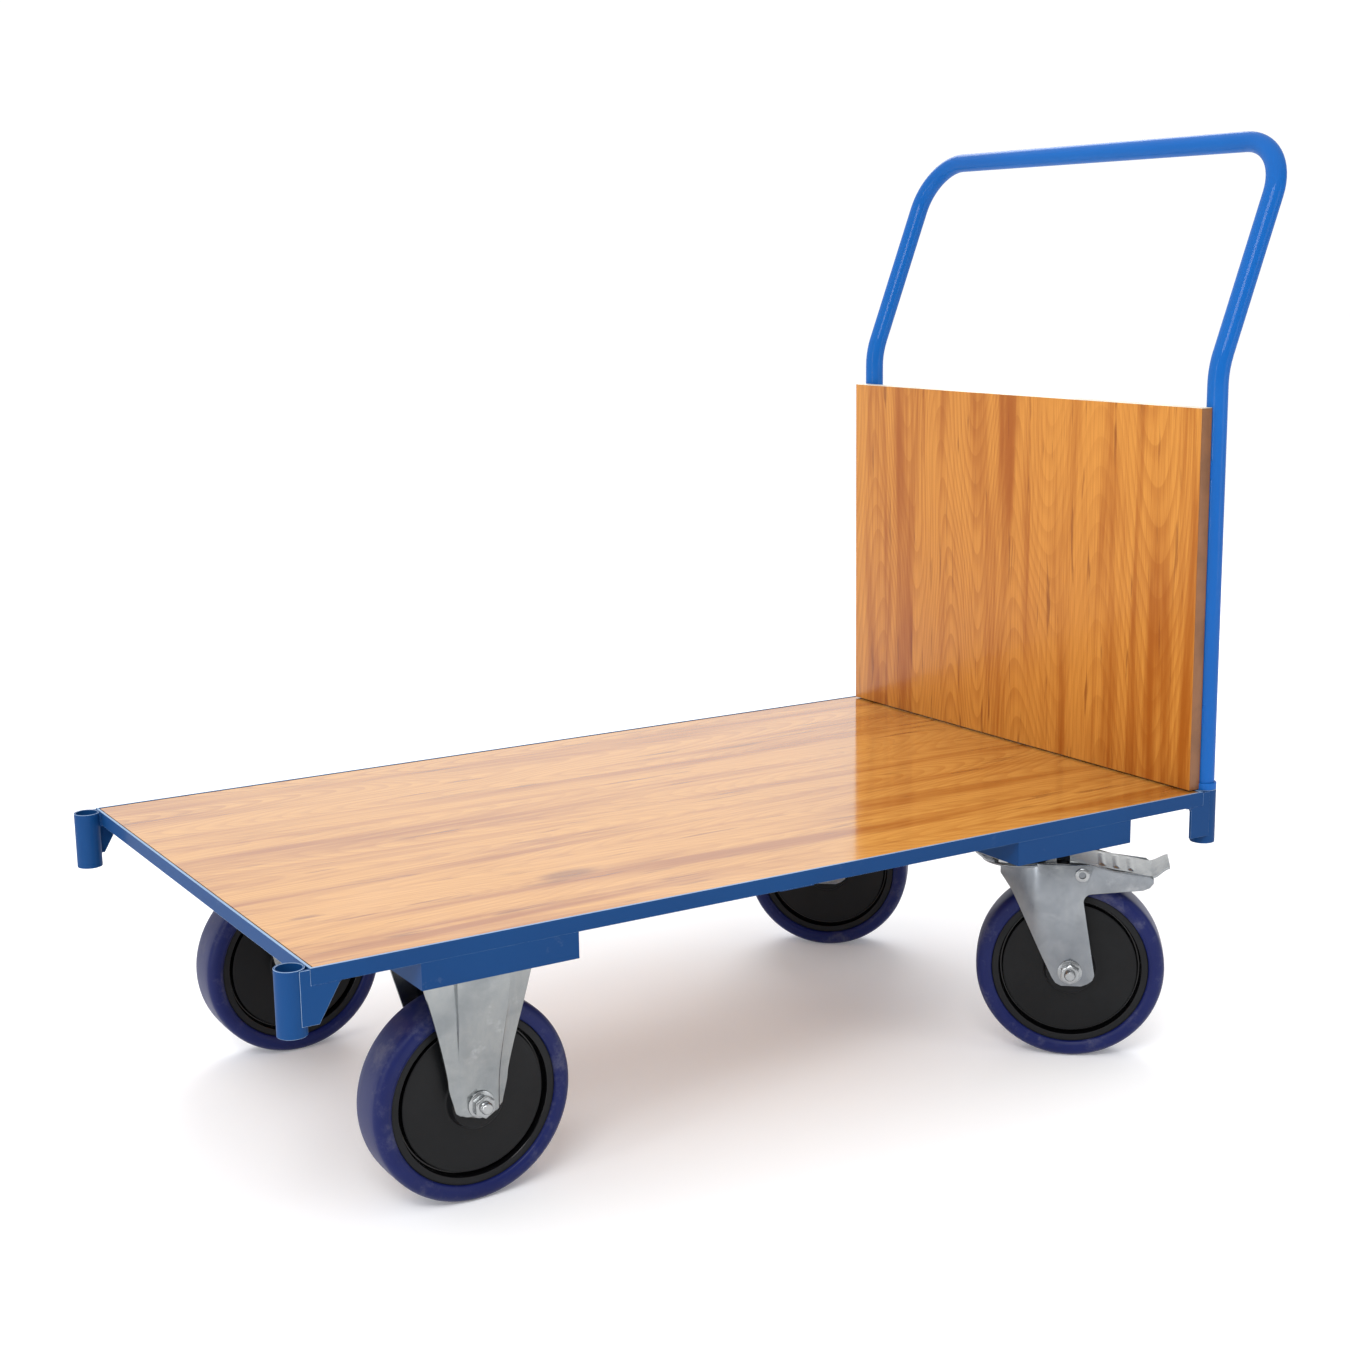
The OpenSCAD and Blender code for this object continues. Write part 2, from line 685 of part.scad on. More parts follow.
module rear_left_top_plate() { place() translate([rear_caster_x, left * caster_y, 0]) swivel_plate(); }
module rear_left_ball_race() { at_swivel(left) ball_race(); }
module rear_left_fork() { at_swivel(left) swivel_fork(); }
module rear_left_axle_bolt() { at_swivel_axle(left) axle_bolt(left); }
module rear_left_axle_nut() { at_swivel_axle(left) axle_nut(left); }
module rear_left_spacer() { at_swivel_axle(left) spacer(); }
module rear_left_pedal_pin() { at_swivel(left) pedal_pin(); }
module rear_left_pedal() { at_swivel(left) pedal(); }
module rear_left_tyre() { at_swivel_axle(left) tyre(); }
module rear_left_rim() { at_swivel_axle(left) rim(); }
module rear_left_bearing() { at_swivel_axle(left) bearing(); }

module rear_right_top_plate() { place() translate([rear_caster_x, right * caster_y, 0]) swivel_plate(); }
module rear_right_ball_race() { at_swivel(right) ball_race(); }
module rear_right_fork() { at_swivel(right) swivel_fork(); }
module rear_right_axle_bolt() { at_swivel_axle(right) axle_bolt(left); }
module rear_right_axle_nut() { at_swivel_axle(right) axle_nut(left); }
module rear_right_spacer() { at_swivel_axle(right) spacer(); }
module rear_right_pedal_pin() { at_swivel(right) pedal_pin(); }
module rear_right_pedal() { at_swivel(right) pedal(); }
module rear_right_tyre() { at_swivel_axle(right) tyre(); }
module rear_right_rim() { at_swivel_axle(right) rim(); }
module rear_right_bearing() { at_swivel_axle(right) bearing(); }

left_side_rail();
right_side_rail();
front_rail();
rear_rail();
front_cross_channel();
rear_cross_channel();
deck_stiffener();
deck_board();
deck_screws();
front_left_sleeve();
front_right_sleeve();
rear_left_sleeve();
rear_right_sleeve();
front_gussets();
rear_gussets();
caster_bolts();
caster_nuts();
push_bar_tube();
back_board();
stop_collars();
board_tabs();
tab_screws();
front_left_fork();
front_left_axle_bolt();
front_left_axle_nut();
front_left_spacer();
front_left_tyre();
front_left_rim();
front_left_bearing();
front_right_fork();
front_right_axle_bolt();
front_right_axle_nut();
front_right_spacer();
front_right_tyre();
front_right_rim();
front_right_bearing();
rear_left_top_plate();
rear_left_ball_race();
rear_left_fork();
rear_left_axle_bolt();
rear_left_axle_nut();
rear_left_spacer();
rear_left_pedal_pin();
rear_left_pedal();
rear_left_tyre();
rear_left_rim();
rear_left_bearing();
rear_right_top_plate();
rear_right_ball_race();
rear_right_fork();
rear_right_axle_bolt();
rear_right_axle_nut();
rear_right_spacer();
rear_right_pedal_pin();
rear_right_pedal();
rear_right_tyre();
rear_right_rim();
rear_right_bearing();
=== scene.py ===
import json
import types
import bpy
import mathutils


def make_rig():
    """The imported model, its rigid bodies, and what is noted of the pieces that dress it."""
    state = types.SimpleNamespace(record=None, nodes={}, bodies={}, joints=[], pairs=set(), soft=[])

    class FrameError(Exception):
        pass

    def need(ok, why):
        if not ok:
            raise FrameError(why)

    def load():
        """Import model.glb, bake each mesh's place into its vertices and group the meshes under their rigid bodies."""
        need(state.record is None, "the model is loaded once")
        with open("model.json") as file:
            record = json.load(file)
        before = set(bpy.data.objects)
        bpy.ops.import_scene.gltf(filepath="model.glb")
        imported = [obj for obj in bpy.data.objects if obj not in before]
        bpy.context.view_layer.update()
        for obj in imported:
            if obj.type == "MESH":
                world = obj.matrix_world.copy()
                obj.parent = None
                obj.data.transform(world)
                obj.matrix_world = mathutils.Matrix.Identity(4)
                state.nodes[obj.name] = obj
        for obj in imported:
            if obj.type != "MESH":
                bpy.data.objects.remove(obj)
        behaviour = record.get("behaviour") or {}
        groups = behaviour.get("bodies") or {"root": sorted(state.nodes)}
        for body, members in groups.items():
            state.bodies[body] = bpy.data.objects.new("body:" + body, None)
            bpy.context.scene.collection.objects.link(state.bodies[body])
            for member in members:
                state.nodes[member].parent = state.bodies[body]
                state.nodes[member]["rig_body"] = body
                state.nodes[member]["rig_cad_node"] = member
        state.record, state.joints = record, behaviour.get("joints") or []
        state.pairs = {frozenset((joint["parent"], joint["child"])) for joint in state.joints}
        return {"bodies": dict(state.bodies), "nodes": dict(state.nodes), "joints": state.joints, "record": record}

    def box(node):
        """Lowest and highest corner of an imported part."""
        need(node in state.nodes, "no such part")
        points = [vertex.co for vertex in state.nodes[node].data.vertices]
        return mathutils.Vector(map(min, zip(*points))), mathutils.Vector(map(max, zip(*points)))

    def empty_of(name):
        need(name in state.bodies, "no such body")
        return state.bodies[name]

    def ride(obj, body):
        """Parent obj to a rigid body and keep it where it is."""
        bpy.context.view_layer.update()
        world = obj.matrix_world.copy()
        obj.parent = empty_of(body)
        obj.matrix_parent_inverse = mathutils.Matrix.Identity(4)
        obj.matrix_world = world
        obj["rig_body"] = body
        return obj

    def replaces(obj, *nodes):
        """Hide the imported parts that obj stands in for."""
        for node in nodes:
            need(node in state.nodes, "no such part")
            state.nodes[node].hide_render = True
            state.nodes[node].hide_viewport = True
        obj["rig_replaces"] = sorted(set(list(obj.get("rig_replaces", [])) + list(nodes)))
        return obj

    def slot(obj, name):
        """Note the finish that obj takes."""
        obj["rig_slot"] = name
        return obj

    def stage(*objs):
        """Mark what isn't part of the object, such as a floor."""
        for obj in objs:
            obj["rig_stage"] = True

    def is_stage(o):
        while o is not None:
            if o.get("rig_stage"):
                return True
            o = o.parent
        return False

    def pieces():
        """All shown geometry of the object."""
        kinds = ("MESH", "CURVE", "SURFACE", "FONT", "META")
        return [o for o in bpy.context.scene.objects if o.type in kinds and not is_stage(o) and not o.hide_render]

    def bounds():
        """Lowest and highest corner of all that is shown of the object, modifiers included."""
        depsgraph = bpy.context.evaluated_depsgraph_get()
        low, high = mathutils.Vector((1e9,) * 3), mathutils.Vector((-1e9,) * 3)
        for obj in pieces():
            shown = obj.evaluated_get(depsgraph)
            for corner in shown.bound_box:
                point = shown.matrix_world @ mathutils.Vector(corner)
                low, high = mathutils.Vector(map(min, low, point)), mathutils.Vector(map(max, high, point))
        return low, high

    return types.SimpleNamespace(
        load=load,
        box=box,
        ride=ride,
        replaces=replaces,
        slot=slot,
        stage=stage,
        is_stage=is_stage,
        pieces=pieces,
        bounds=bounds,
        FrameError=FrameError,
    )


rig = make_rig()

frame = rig.load()

import json
from math import cos, pi, radians, sin, sqrt

import bmesh
import bpy
from mathutils import Matrix, Quaternion, Vector

# Sizes are in metres. +X is the push bar end, -Y the left side, +Z up.

MM = 0.001
CHASSIS, BAR = "chassis", "push_bar"
SIDES = {"left": -1, "right": 1}
MERGE = 1e-6  # points nearer than this are one


def record_box(key, mode):
    """Keeps the box of everything shown, as plain lists."""
    low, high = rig.bounds()
    sizes = {}
    if mode == "a":
        with open("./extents.json") as f:
            sizes = json.load(f)
    sizes[key] = [[float(v) for v in low], [float(v) for v in high]]
    with open("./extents.json", "w") as f:
        json.dump(sizes, f, indent=1)


record_box("cad", "w")


# ---------------------------------------------------------------- shader helpers

def put(tree, kind, at, **settings):
    """A node of one kind at a place in the node editor, with its plain settings."""
    n = tree.nodes.new(kind)
    n.location = at
    for key, value in settings.items():
        setattr(n, key, value)
    return n


def feed(tree, node, **values):
    """Sets a node's inputs, by name with _ for a space or by number as i0, i1: a value is set, a socket is linked."""
    for key, value in values.items():
        numbered = key.startswith("i") and key[1:].isdigit()
        socket = node.inputs[int(key[1:]) if numbered else key.replace("_", " ")]
        if isinstance(value, bpy.types.NodeSocket):
            tree.links.new(value, socket)
        else:
            socket.default_value = value
    return node


def mix_colour(tree, at, factor, first, second, blend="MIX"):
    """Mixes two colours by a factor and gives the result's socket."""
    n = put(tree, "ShaderNodeMix", at, data_type="RGBA", blend_type=blend)
    feed(tree, n, i0=factor, i6=first, i7=second)
    return n.outputs[2]


def shaded(tree, at, colour, by):
    """A colour multiplied by another."""
    return mix_colour(tree, at, 1.0, colour, by, "MULTIPLY")


def blend_number(tree, at, factor, first, second):
    """Mixes two numbers by a factor and gives the result's socket."""
    n = put(tree, "ShaderNodeMix", at)
    feed(tree, n, i0=factor, i2=first, i3=second)
    return n.outputs[0]


def sums(tree, at, operation, first, second=0.5):
    """One sum on one or two numbers."""
    n = put(tree, "ShaderNodeMath", at, operation=operation)
    feed(tree, n, i0=first, i1=second)
    return n.outputs[0]


def between(tree, at, value, low, high, out_low=0.0, out_high=1.0):
    """A value's part between two marks, smoothed, as a number between two others."""
    n = put(tree, "ShaderNodeMapRange", at, interpolation_type="SMOOTHSTEP")
    feed(tree, n, i0=value, i1=low, i2=high, i3=out_low, i4=out_high)
    return n.outputs[0]


def noise(tree, at, vector, scale, detail=3.0, rough=0.5, distortion=0.0):
    """A noise pattern's value, from 0 to 1."""
    n = put(tree, "ShaderNodeTexNoise", at)
    feed(tree, n, Vector=vector, Scale=scale, Detail=detail, Roughness=rough, Distortion=distortion)
    return n.outputs["Fac"]


def new_group(name, inputs, outputs):
    """A shader node group with its named sockets, and its two end nodes."""
    g = bpy.data.node_groups.new(name, "ShaderNodeTree")
    kinds = {"c": "NodeSocketColor", "f": "NodeSocketFloat", "v": "NodeSocketVector"}
    for label, kind, default in inputs:
        s = g.interface.new_socket(name=label, in_out="INPUT", socket_type=kinds[kind])
        if default is not None:
            s.default_value = default
    for label, kind in outputs:
        g.interface.new_socket(name=label, in_out="OUTPUT", socket_type=kinds[kind])
    return g, put(g, "NodeGroupInput", (-1400, 0)), put(g, "NodeGroupOutput", (900, 0))


# ---------------------------------------------------------------- shared effects

def build_coat_group():
    """Powder coat: a fine orange peel, slow drifts of shade, and a few dull scuffs and dust in the low places."""
    g, a, b = new_group(
        "powder coat surface",
        [
            ("Vector", "v", None), ("Colour", "c", (0.1, 0.1, 0.1, 1)), ("Peel Scale", "f", 420.0),
            ("Roughness", "f", 0.3), ("Wear", "f", 0.3),
        ],
        [("Colour", "c"), ("Roughness", "f"), ("Height", "f")],
    )
    i = a.outputs
    drift = noise(g, (-1100, 300), i["Vector"], 3.5, 3.0)
    peel = noise(g, (-1100, 60), i["Vector"], i["Peel Scale"], 2.0, 0.45)
    scuff = noise(g, (-1100, -180), i["Vector"], 38.0, 7.0, 0.72, 0.6)
    patch = noise(g, (-1100, -420), i["Vector"], 7.0, 4.0, 0.6)
    scuffed = between(g, (-900, -180), scuff, 0.60, 0.70)
    marks = sums(g, (-700, -260), "MULTIPLY", scuffed, between(g, (-900, -420), patch, 0.5, 0.66))
    worn = sums(g, (-500, -260), "MULTIPLY", marks, i["Wear"])
    deeper = shaded(g, (-700, 460), i["Colour"], (0.80, 0.84, 0.88, 1))
    tint = mix_colour(g, (-500, 340), between(g, (-900, 300), drift, 0.3, 0.7), i["Colour"], deeper)
    dusty = mix_colour(g, (-200, 300), sums(g, (-350, 60), "MULTIPLY", worn, 0.45), tint, (0.32, 0.36, 0.42, 1))
    rough = sums(g, (-200, -60), "ADD", sums(g, (-350, -60), "MULTIPLY_ADD", worn, 0.35), i["Roughness"])
    low = sums(g, (-350, -420), "MULTIPLY", worn, 0.8)
    g.links.new(dusty, b.inputs["Colour"])
    g.links.new(rough, b.inputs["Roughness"])
    g.links.new(sums(g, (-200, -300), "SUBTRACT", peel, low), b.inputs["Height"])
    return g


def build_zinc_group():
    """Bright zinc plate: cloudy crystals, fine drawn lines, soft white bloom and a few grey rubs."""
    g, a, b = new_group(
        "zinc plate surface",
        [("Vector", "v", None), ("Colour", "c", (0.5, 0.5, 0.5, 1)), ("Roughness", "f", 0.28), ("Bloom", "f", 0.4)],
        [("Colour", "c"), ("Roughness", "f"), ("Height", "f")],
    )
    i = a.outputs
    stretch = put(g, "ShaderNodeMapping", (-1200, 300))
    feed(g, stretch, Vector=i["Vector"], Scale=(30.0, 30.0, 3.0))
    lines = noise(g, (-1000, 300), stretch.outputs[0], 9.0, 5.0, 0.6)
    cloud = noise(g, (-1000, 60), i["Vector"], 22.0, 5.0, 0.62, 0.4)
    bloom = noise(g, (-1000, -180), i["Vector"], 55.0, 6.0, 0.7)
    where = noise(g, (-1000, -420), i["Vector"], 9.0, 3.0)
    crystal = put(g, "ShaderNodeTexVoronoi", (-1000, -660), feature="SMOOTH_F1")
    feed(g, crystal, Vector=i["Vector"], Scale=260.0)
    spots = between(g, (-800, -180), bloom, 0.52, 0.72)
    white = sums(g, (-600, -260), "MULTIPLY", spots, between(g, (-800, -420), where, 0.45, 0.65))
    white = sums(g, (-450, -260), "MULTIPLY", white, i["Bloom"])
    clouded = shaded(g, (-650, 340), i["Colour"], (0.72, 0.74, 0.77, 1))
    shade = mix_colour(g, (-500, 200), between(g, (-800, 60), cloud, 0.35, 0.7), i["Colour"], clouded)
    drawn = shaded(g, (-400, 460), i["Colour"], (0.84, 0.86, 0.9, 1))
    shade = mix_colour(g, (-250, 260), between(g, (-500, 420), lines, 0.45, 0.62, 0.0, 0.35), shade, drawn)
    g.links.new(mix_colour(g, (0, 200), white, shade, (0.66, 0.67, 0.68, 1)), b.inputs["Colour"])
    spread = sums(g, (-250, -60), "MULTIPLY_ADD", cloud, 0.16)
    g.links.new(i["Roughness"], spread.node.inputs[2])
    duller = sums(g, (-250, -260), "MULTIPLY", white, 0.3)
    g.links.new(sums(g, (0, -60), "ADD", spread, duller), b.inputs["Roughness"])
    grains = sums(g, (-250, -420), "MULTIPLY", crystal.outputs["Distance"], 0.6)
    height = sums(g, (0, -300), "ADD", grains, sums(g, (-250, -560), "MULTIPLY", lines, 0.7))
    g.links.new(height, b.inputs["Height"])
    return g


def build_wood_group():
    """Wood grain along X: nested arches of rings, broad dark streaks, fine fibres, dark flecks and small knots."""
    g, a, b = new_group(
        "wood grain surface",
        [
            ("Vector", "v", None), ("Light", "c", (0.6, 0.3, 0.1, 1)),
            ("Dark", "c", (0.3, 0.1, 0.02, 1)), ("Streak", "c", (0.2, 0.05, 0.01, 1)),
            ("Rings", "f", 9.0), ("Contrast", "f", 0.6), ("Knots", "f", 1.0),
        ],
        [("Colour", "c"), ("Fibre", "f")],
    )
    i = a.outputs

    def stretched(at, along, across):
        n = put(g, "ShaderNodeMapping", at)
        feed(g, n, Vector=i["Vector"], Scale=(along, across, across))
        return n.outputs[0]

    spot = put(g, "ShaderNodeTexVoronoi", (-1150, -900), feature="F1")
    feed(g, spot, Vector=stretched((-1350, -900), 2.3, 5.2), Scale=1.0, Randomness=1.0)
    swell = between(g, (-950, -900), spot.outputs["Distance"], 0.0, 0.34, 0.16, 0.0)
    field = noise(g, (-1150, 500), stretched((-1350, 500), 0.75, 4.2), 1.25, 1.6, 0.42, 0.25)
    field = sums(g, (-900, 500), "ADD", field, sums(g, (-1000, 300), "MULTIPLY", swell, i["Knots"]))
    axes = put(g, "ShaderNodeSeparateXYZ", (-1150, 900))
    feed(g, axes, i0=i["Vector"])
    sway = noise(g, (-1150, 1100), stretched((-1350, 1100), 1.1, 2.0), 1.3, 2.0)
    heart = sums(g, (-950, 1000), "MULTIPLY_ADD", axes.outputs["Y"], 44.0)
    g.links.new(sums(g, (-1050, 1100), "MULTIPLY", sway, 7.0), heart.node.inputs[2])
    arch = sums(g, (-800, 900), "MULTIPLY_ADD", sums(g, (-900, 1000), "SINE", heart), 3.4)
    g.links.new(sums(g, (-950, 800), "MULTIPLY", axes.outputs["X"], 26.0), arch.node.inputs[2])
    turns = sums(g, (-700, 700), "ADD", arch, sums(g, (-700, 500), "MULTIPLY", field, i["Rings"]))
    part = sums(g, (-550, 600), "FRACT", turns)
    late_wood, new_ring = between(g, (-500, 650), part, 0.25, 0.92), between(g, (-500, 500), part, 0.93, 1.0)
    rings = sums(g, (-400, 600), "SUBTRACT", late_wood, new_ring)
    drift = noise(g, (-1150, 200), stretched((-1350, 200), 0.5, 3.0), 1.4, 2.0)
    band = sums(g, (-100, 500), "MULTIPLY", rings, between(g, (-300, 200), drift, 0.3, 0.7, 0.3, 1.0))
    band = sums(g, (0, 350), "MULTIPLY", band, i["Contrast"])
    fibre = noise(g, (-1150, -100), stretched((-1350, -100), 2.2, 120.0), 5.0, 6.0, 0.62)
    fleck = noise(g, (-1150, -350), stretched((-1350, -350), 5.5, 62.0), 1.7, 3.0, 0.55, 0.3)
    cloud = noise(g, (-1150, -600), stretched((-1350, -600), 0.8, 13.0), 2.1, 4.0, 0.62, 0.3)
    colour = mix_colour(g, (100, 400), band, i["Light"], i["Dark"])
    colour = mix_colour(g, (250, 300), between(g, (-300, -600), cloud, 0.44, 0.68, 0.0, 0.95), colour, i["Dark"])
    colour = mix_colour(g, (400, 200), between(g, (-300, -100), fibre, 0.40, 0.66, 0.0, 0.34), colour, i["Dark"])
    colour = mix_colour(g, (550, 100), between(g, (-300, -350), fleck, 0.60, 0.74, 0.0, 0.62), colour, i["Streak"])
    knot = between(g, (-700, -900), spot.outputs["Distance"], 0.035, 0.10, 0.85, 0.0)
    eye = sums(g, (-500, -900), "MULTIPLY", knot, i["Knots"])
    g.links.new(mix_colour(g, (700, 0), eye, colour, i["Streak"]), b.inputs["Colour"])
    g.links.new(fibre, b.inputs["Fibre"])
    return g


def build_rubber_group():
    """Polyurethane tyre: soft mould haze, rolling scuffs and a little floor dust."""
    g, a, b = new_group(
        "tyre surface",
        [("Vector", "v", None), ("Colour", "c", (0.1, 0.1, 0.3, 1)), ("Roughness", "f", 0.45), ("Dust", "f", 0.3)],
        [("Colour", "c"), ("Roughness", "f"), ("Height", "f")],
    )
    i = a.outputs
    haze = noise(g, (-900, 300), i["Vector"], 14.0, 4.0)
    grit = noise(g, (-900, 60), i["Vector"], 600.0, 2.0)
    dust = noise(g, (-900, -180), i["Vector"], 30.0, 6.0, 0.72)
    dirty = sums(g, (-450, -180), "MULTIPLY", between(g, (-650, -180), dust, 0.5, 0.74), i["Dust"])
    deeper = shaded(g, (-550, 420), i["Colour"], (0.72, 0.74, 0.86, 1))
    colour = mix_colour(g, (-400, 300), between(g, (-650, 300), haze, 0.3, 0.7), i["Colour"], deeper)
    g.links.new(mix_colour(g, (-150, 200), dirty, colour, (0.16, 0.16, 0.20, 1)), b.inputs["Colour"])
    spread = sums(g, (-150, -60), "MULTIPLY_ADD", haze, 0.14)
    g.links.new(i["Roughness"], spread.node.inputs[2])
    g.links.new(sums(g, (50, -60), "ADD", spread, sums(g, (-150, -240), "MULTIPLY", dirty, 0.5)), b.inputs["Roughness"])
    g.links.new(grit, b.inputs["Height"])
    return g


COAT, ZINC, WOOD, RUBBER = build_coat_group(), build_zinc_group(), build_wood_group(), build_rubber_group()


# ---------------------------------------------------------------- materials

def start_material(name, turn=(0, 0, 0), shift=(0, 0, 0), **plain):
    """A material with a Principled surface, and a mapped Object coordinate to draw its pattern on."""
    m = bpy.data.materials.new(name)
    m.use_nodes = True
    t = m.node_tree
    surface = t.nodes["Principled BSDF"]
    for key, value in plain.items():
        surface.inputs[key.replace("_", " ")].default_value = value
    place = put(t, "ShaderNodeTexCoord", (-1300, 0))
    spread = put(t, "ShaderNodeMapping", (-1100, 0))
    feed(t, spread, Vector=place.outputs["Object"], Location=shift, Rotation=turn)
    return m, t, surface, spread.outputs[0]


def add_bump(tree, surface, height, distance):
    """Raises a surface by a pattern, with the distance in metres."""
    n = put(tree, "ShaderNodeBump", (-250, -300))
    feed(tree, n, Height=height, Distance=distance, Strength=1.0)
    tree.links.new(n.outputs[0], surface.inputs["Normal"])


def painted(name, colour, rough, wear, peel=420.0, coat=0.35, spec=0.15):
    """Powder coated steel in one colour."""
    m, t, surface, vector = start_material(name, Coat_Weight=coat, Coat_Roughness=0.10, Specular_IOR_Level=spec)
    n = put(t, "ShaderNodeGroup", (-700, 0), node_tree=COAT)
    feed(t, n, Vector=vector, Colour=colour, Peel_Scale=peel, Roughness=rough, Wear=wear)
    feed(t, surface, Base_Color=n.outputs["Colour"], Roughness=n.outputs["Roughness"])
    add_bump(t, surface, n.outputs["Height"], 0.00006)
    return m


def plated(name, colour, rough, bloom):
    """Zinc plated steel in one tone."""
    m, t, surface, vector = start_material(name, Metallic=0.92, Specular_IOR_Level=0.5)
    n = put(t, "ShaderNodeGroup", (-700, 0), node_tree=ZINC)
    feed(t, n, Vector=vector, Colour=colour, Roughness=rough, Bloom=bloom)
    feed(t, surface, Base_Color=n.outputs["Colour"], Roughness=n.outputs["Roughness"])
    add_bump(t, surface, n.outputs["Height"], 0.00004)
    return m


def wooden(name, turn, shift, colours, rings, contrast, knots, rough, coat, bump, spec):
    """Laminate with printed grain under a clear face. colours are the light wood, the dark wood and the streaks."""
    m, t, surface, vector = start_material(
        name, turn=turn, shift=shift, Coat_Weight=coat, Coat_Roughness=0.05, Specular_IOR_Level=spec
    )
    n = put(t, "ShaderNodeGroup", (-700, 0), node_tree=WOOD)
    light, dark, streak = colours
    feed(t, n, Vector=vector, Light=light, Dark=dark, Streak=streak, Rings=rings, Contrast=contrast, Knots=knots)
    feed(t, surface, Base_Color=n.outputs["Colour"])
    haze = noise(t, (-700, -420), vector, 6.0, 4.0, 0.6)
    feed(t, surface, Roughness=between(t, (-450, -420), haze, 0.3, 0.75, rough, rough + 0.07))
    add_bump(t, surface, n.outputs["Fibre"], bump)
    return m


FRAME_BLUE = painted("frame blue powder coat", (0.0015, 0.050, 0.180, 1), 0.24, 0.30, coat=0.12)
# A pale blue that is a painted highlight on lips and softened edges, with a little real wear on it.
PAINTED_HIGHLIGHT_BLUE = painted("frame blue, rubbed edges", (0.26, 0.38, 0.55, 1), 0.22, 0.2, coat=0.3)
BAR_BLUE = painted("push bar blue powder coat", (0.0, 0.112, 0.430, 1), 0.17, 0.10, coat=0.2)
ZINC_PLATE = plated("zinc plated sheet", (0.32, 0.335, 0.335, 1), 0.13, 0.30)
ZINC_BRIGHT = plated("zinc plated fasteners", (0.42, 0.43, 0.43, 1), 0.18, 0.3)
ZINC_YOKE = plated("zinc plated yoke", (0.27, 0.285, 0.30, 1), 0.12, 0.30)
BOARD_WOOD = wooden(
    "back board laminate", turn=(0, radians(90), 0), shift=(0.31, 0.04, 0.0),
    colours=((0.62, 0.265, 0.046, 1), (0.34, 0.090, 0.007, 1), (0.17, 0.032, 0.003, 1)),
    rings=16.0, contrast=0.42, knots=0.9, rough=0.30, coat=0.05, bump=0.00005, spec=0.2,
)
DECK_WOOD = wooden(
    "deck laminate", turn=(0, 0, 0), shift=(0.1, 0.07, 0.02),
    colours=((0.62, 0.300, 0.062, 1), (0.33, 0.098, 0.008, 1), (0.17, 0.038, 0.003, 1)),
    rings=15.0, contrast=0.50, knots=0.8, rough=0.09, coat=0.3, bump=0.00002, spec=0.4,
)


def plain_surface(name, colour, rough, metal=0.0, speck=180.0, depth=0.00003, spec=0.5, coat=0.0):
    """A single-colour surface with a fine broken sheen."""
    m, t, surface, vector = start_material(name, Metallic=metal, Specular_IOR_Level=spec, Coat_Weight=coat)
    grit = noise(t, (-700, 0), vector, speck, 4.0, 0.6)
    haze = noise(t, (-700, -240), vector, 16.0, 4.0, 0.6)
    dark = tuple(c * 0.7 for c in colour[:3]) + (1,)
    feed(t, surface, Base_Color=mix_colour(t, (-450, 100), between(t, (-600, 200), haze, 0.3, 0.7), colour, dark))
    feed(t, surface, Roughness=between(t, (-450, -240), haze, 0.25, 0.75, rough, rough + 0.12))
    add_bump(t, surface, grit, depth)
    return m


def tyre_material():
    """Blue polyurethane, cast and slightly dusty."""
    m, t, surface, vector = start_material("blue polyurethane tyre", Specular_IOR_Level=0.22)
    n = put(t, "ShaderNodeGroup", (-700, 0), node_tree=RUBBER)
    feed(t, n, Vector=vector, Colour=(0.006, 0.012, 0.090, 1), Roughness=0.34, Dust=0.35)
    feed(t, surface, Base_Color=n.outputs["Colour"], Roughness=n.outputs["Roughness"])
    add_bump(t, surface, n.outputs["Height"], 0.00005)
    return m


TYRE = tyre_material()
RIM_DISC = plain_surface("rim black, matt disc", (0.0065, 0.007, 0.008, 1), 0.34, speck=420.0, depth=0.0001, spec=0.2)
# Glossy black, darker than the disc: the rim's glossy black with painted shade for its deep groove, also painted shade
# inside the pedal pin's bore.
GLOSSY_SHADE_BLACK = plain_surface(
    "rim black, glossy groove", (0.003, 0.003, 0.0035, 1), 0.10, speck=60.0, depth=0.00001, spec=0.3, coat=0.1
)
RIM_BEAD = plain_surface("rim bead, black", (0.010, 0.0105, 0.012, 1), 0.42, speck=500.0, depth=0.0001, spec=0.2)
DARK_STEEL = plain_surface("dark greased steel", (0.13, 0.13, 0.13, 1), 0.34, metal=0.9)
EDGE_BAND = plain_surface("cream edge band", (0.80, 0.70, 0.53, 1), 0.38, speck=90.0)
BOARD_EDGE = plain_surface("brown edge band", (0.235, 0.090, 0.026, 1), 0.36, speck=120.0)
# Near-black painted shade for the gap between the deck and the rails' lips, put on the deck's softened edges.
DECK_GAP_SHADE = plain_surface("dark deck seam", (0.012, 0.010, 0.009, 1), 0.5)
WELD = painted("painted weld bead", (0.003, 0.052, 0.185, 1), 0.28, 0.2, peel=240.0, coat=0.2)


# ---------------------------------------------------------------- mesh helpers

def arc(centre_r, centre_a, radius, start, end, steps=6):
    """Points on an arc in a (radius, along) profile."""
    turns = [radians(start + (end - start) * k / steps) for k in range(steps + 1)]
    return [(centre_r + radius * cos(a), centre_a + radius * sin(a)) for a in turns]


def scaled(*points):
    """Profile points given in millimetres, in metres."""
    return [(r * MM, a * MM) for r, a in points]


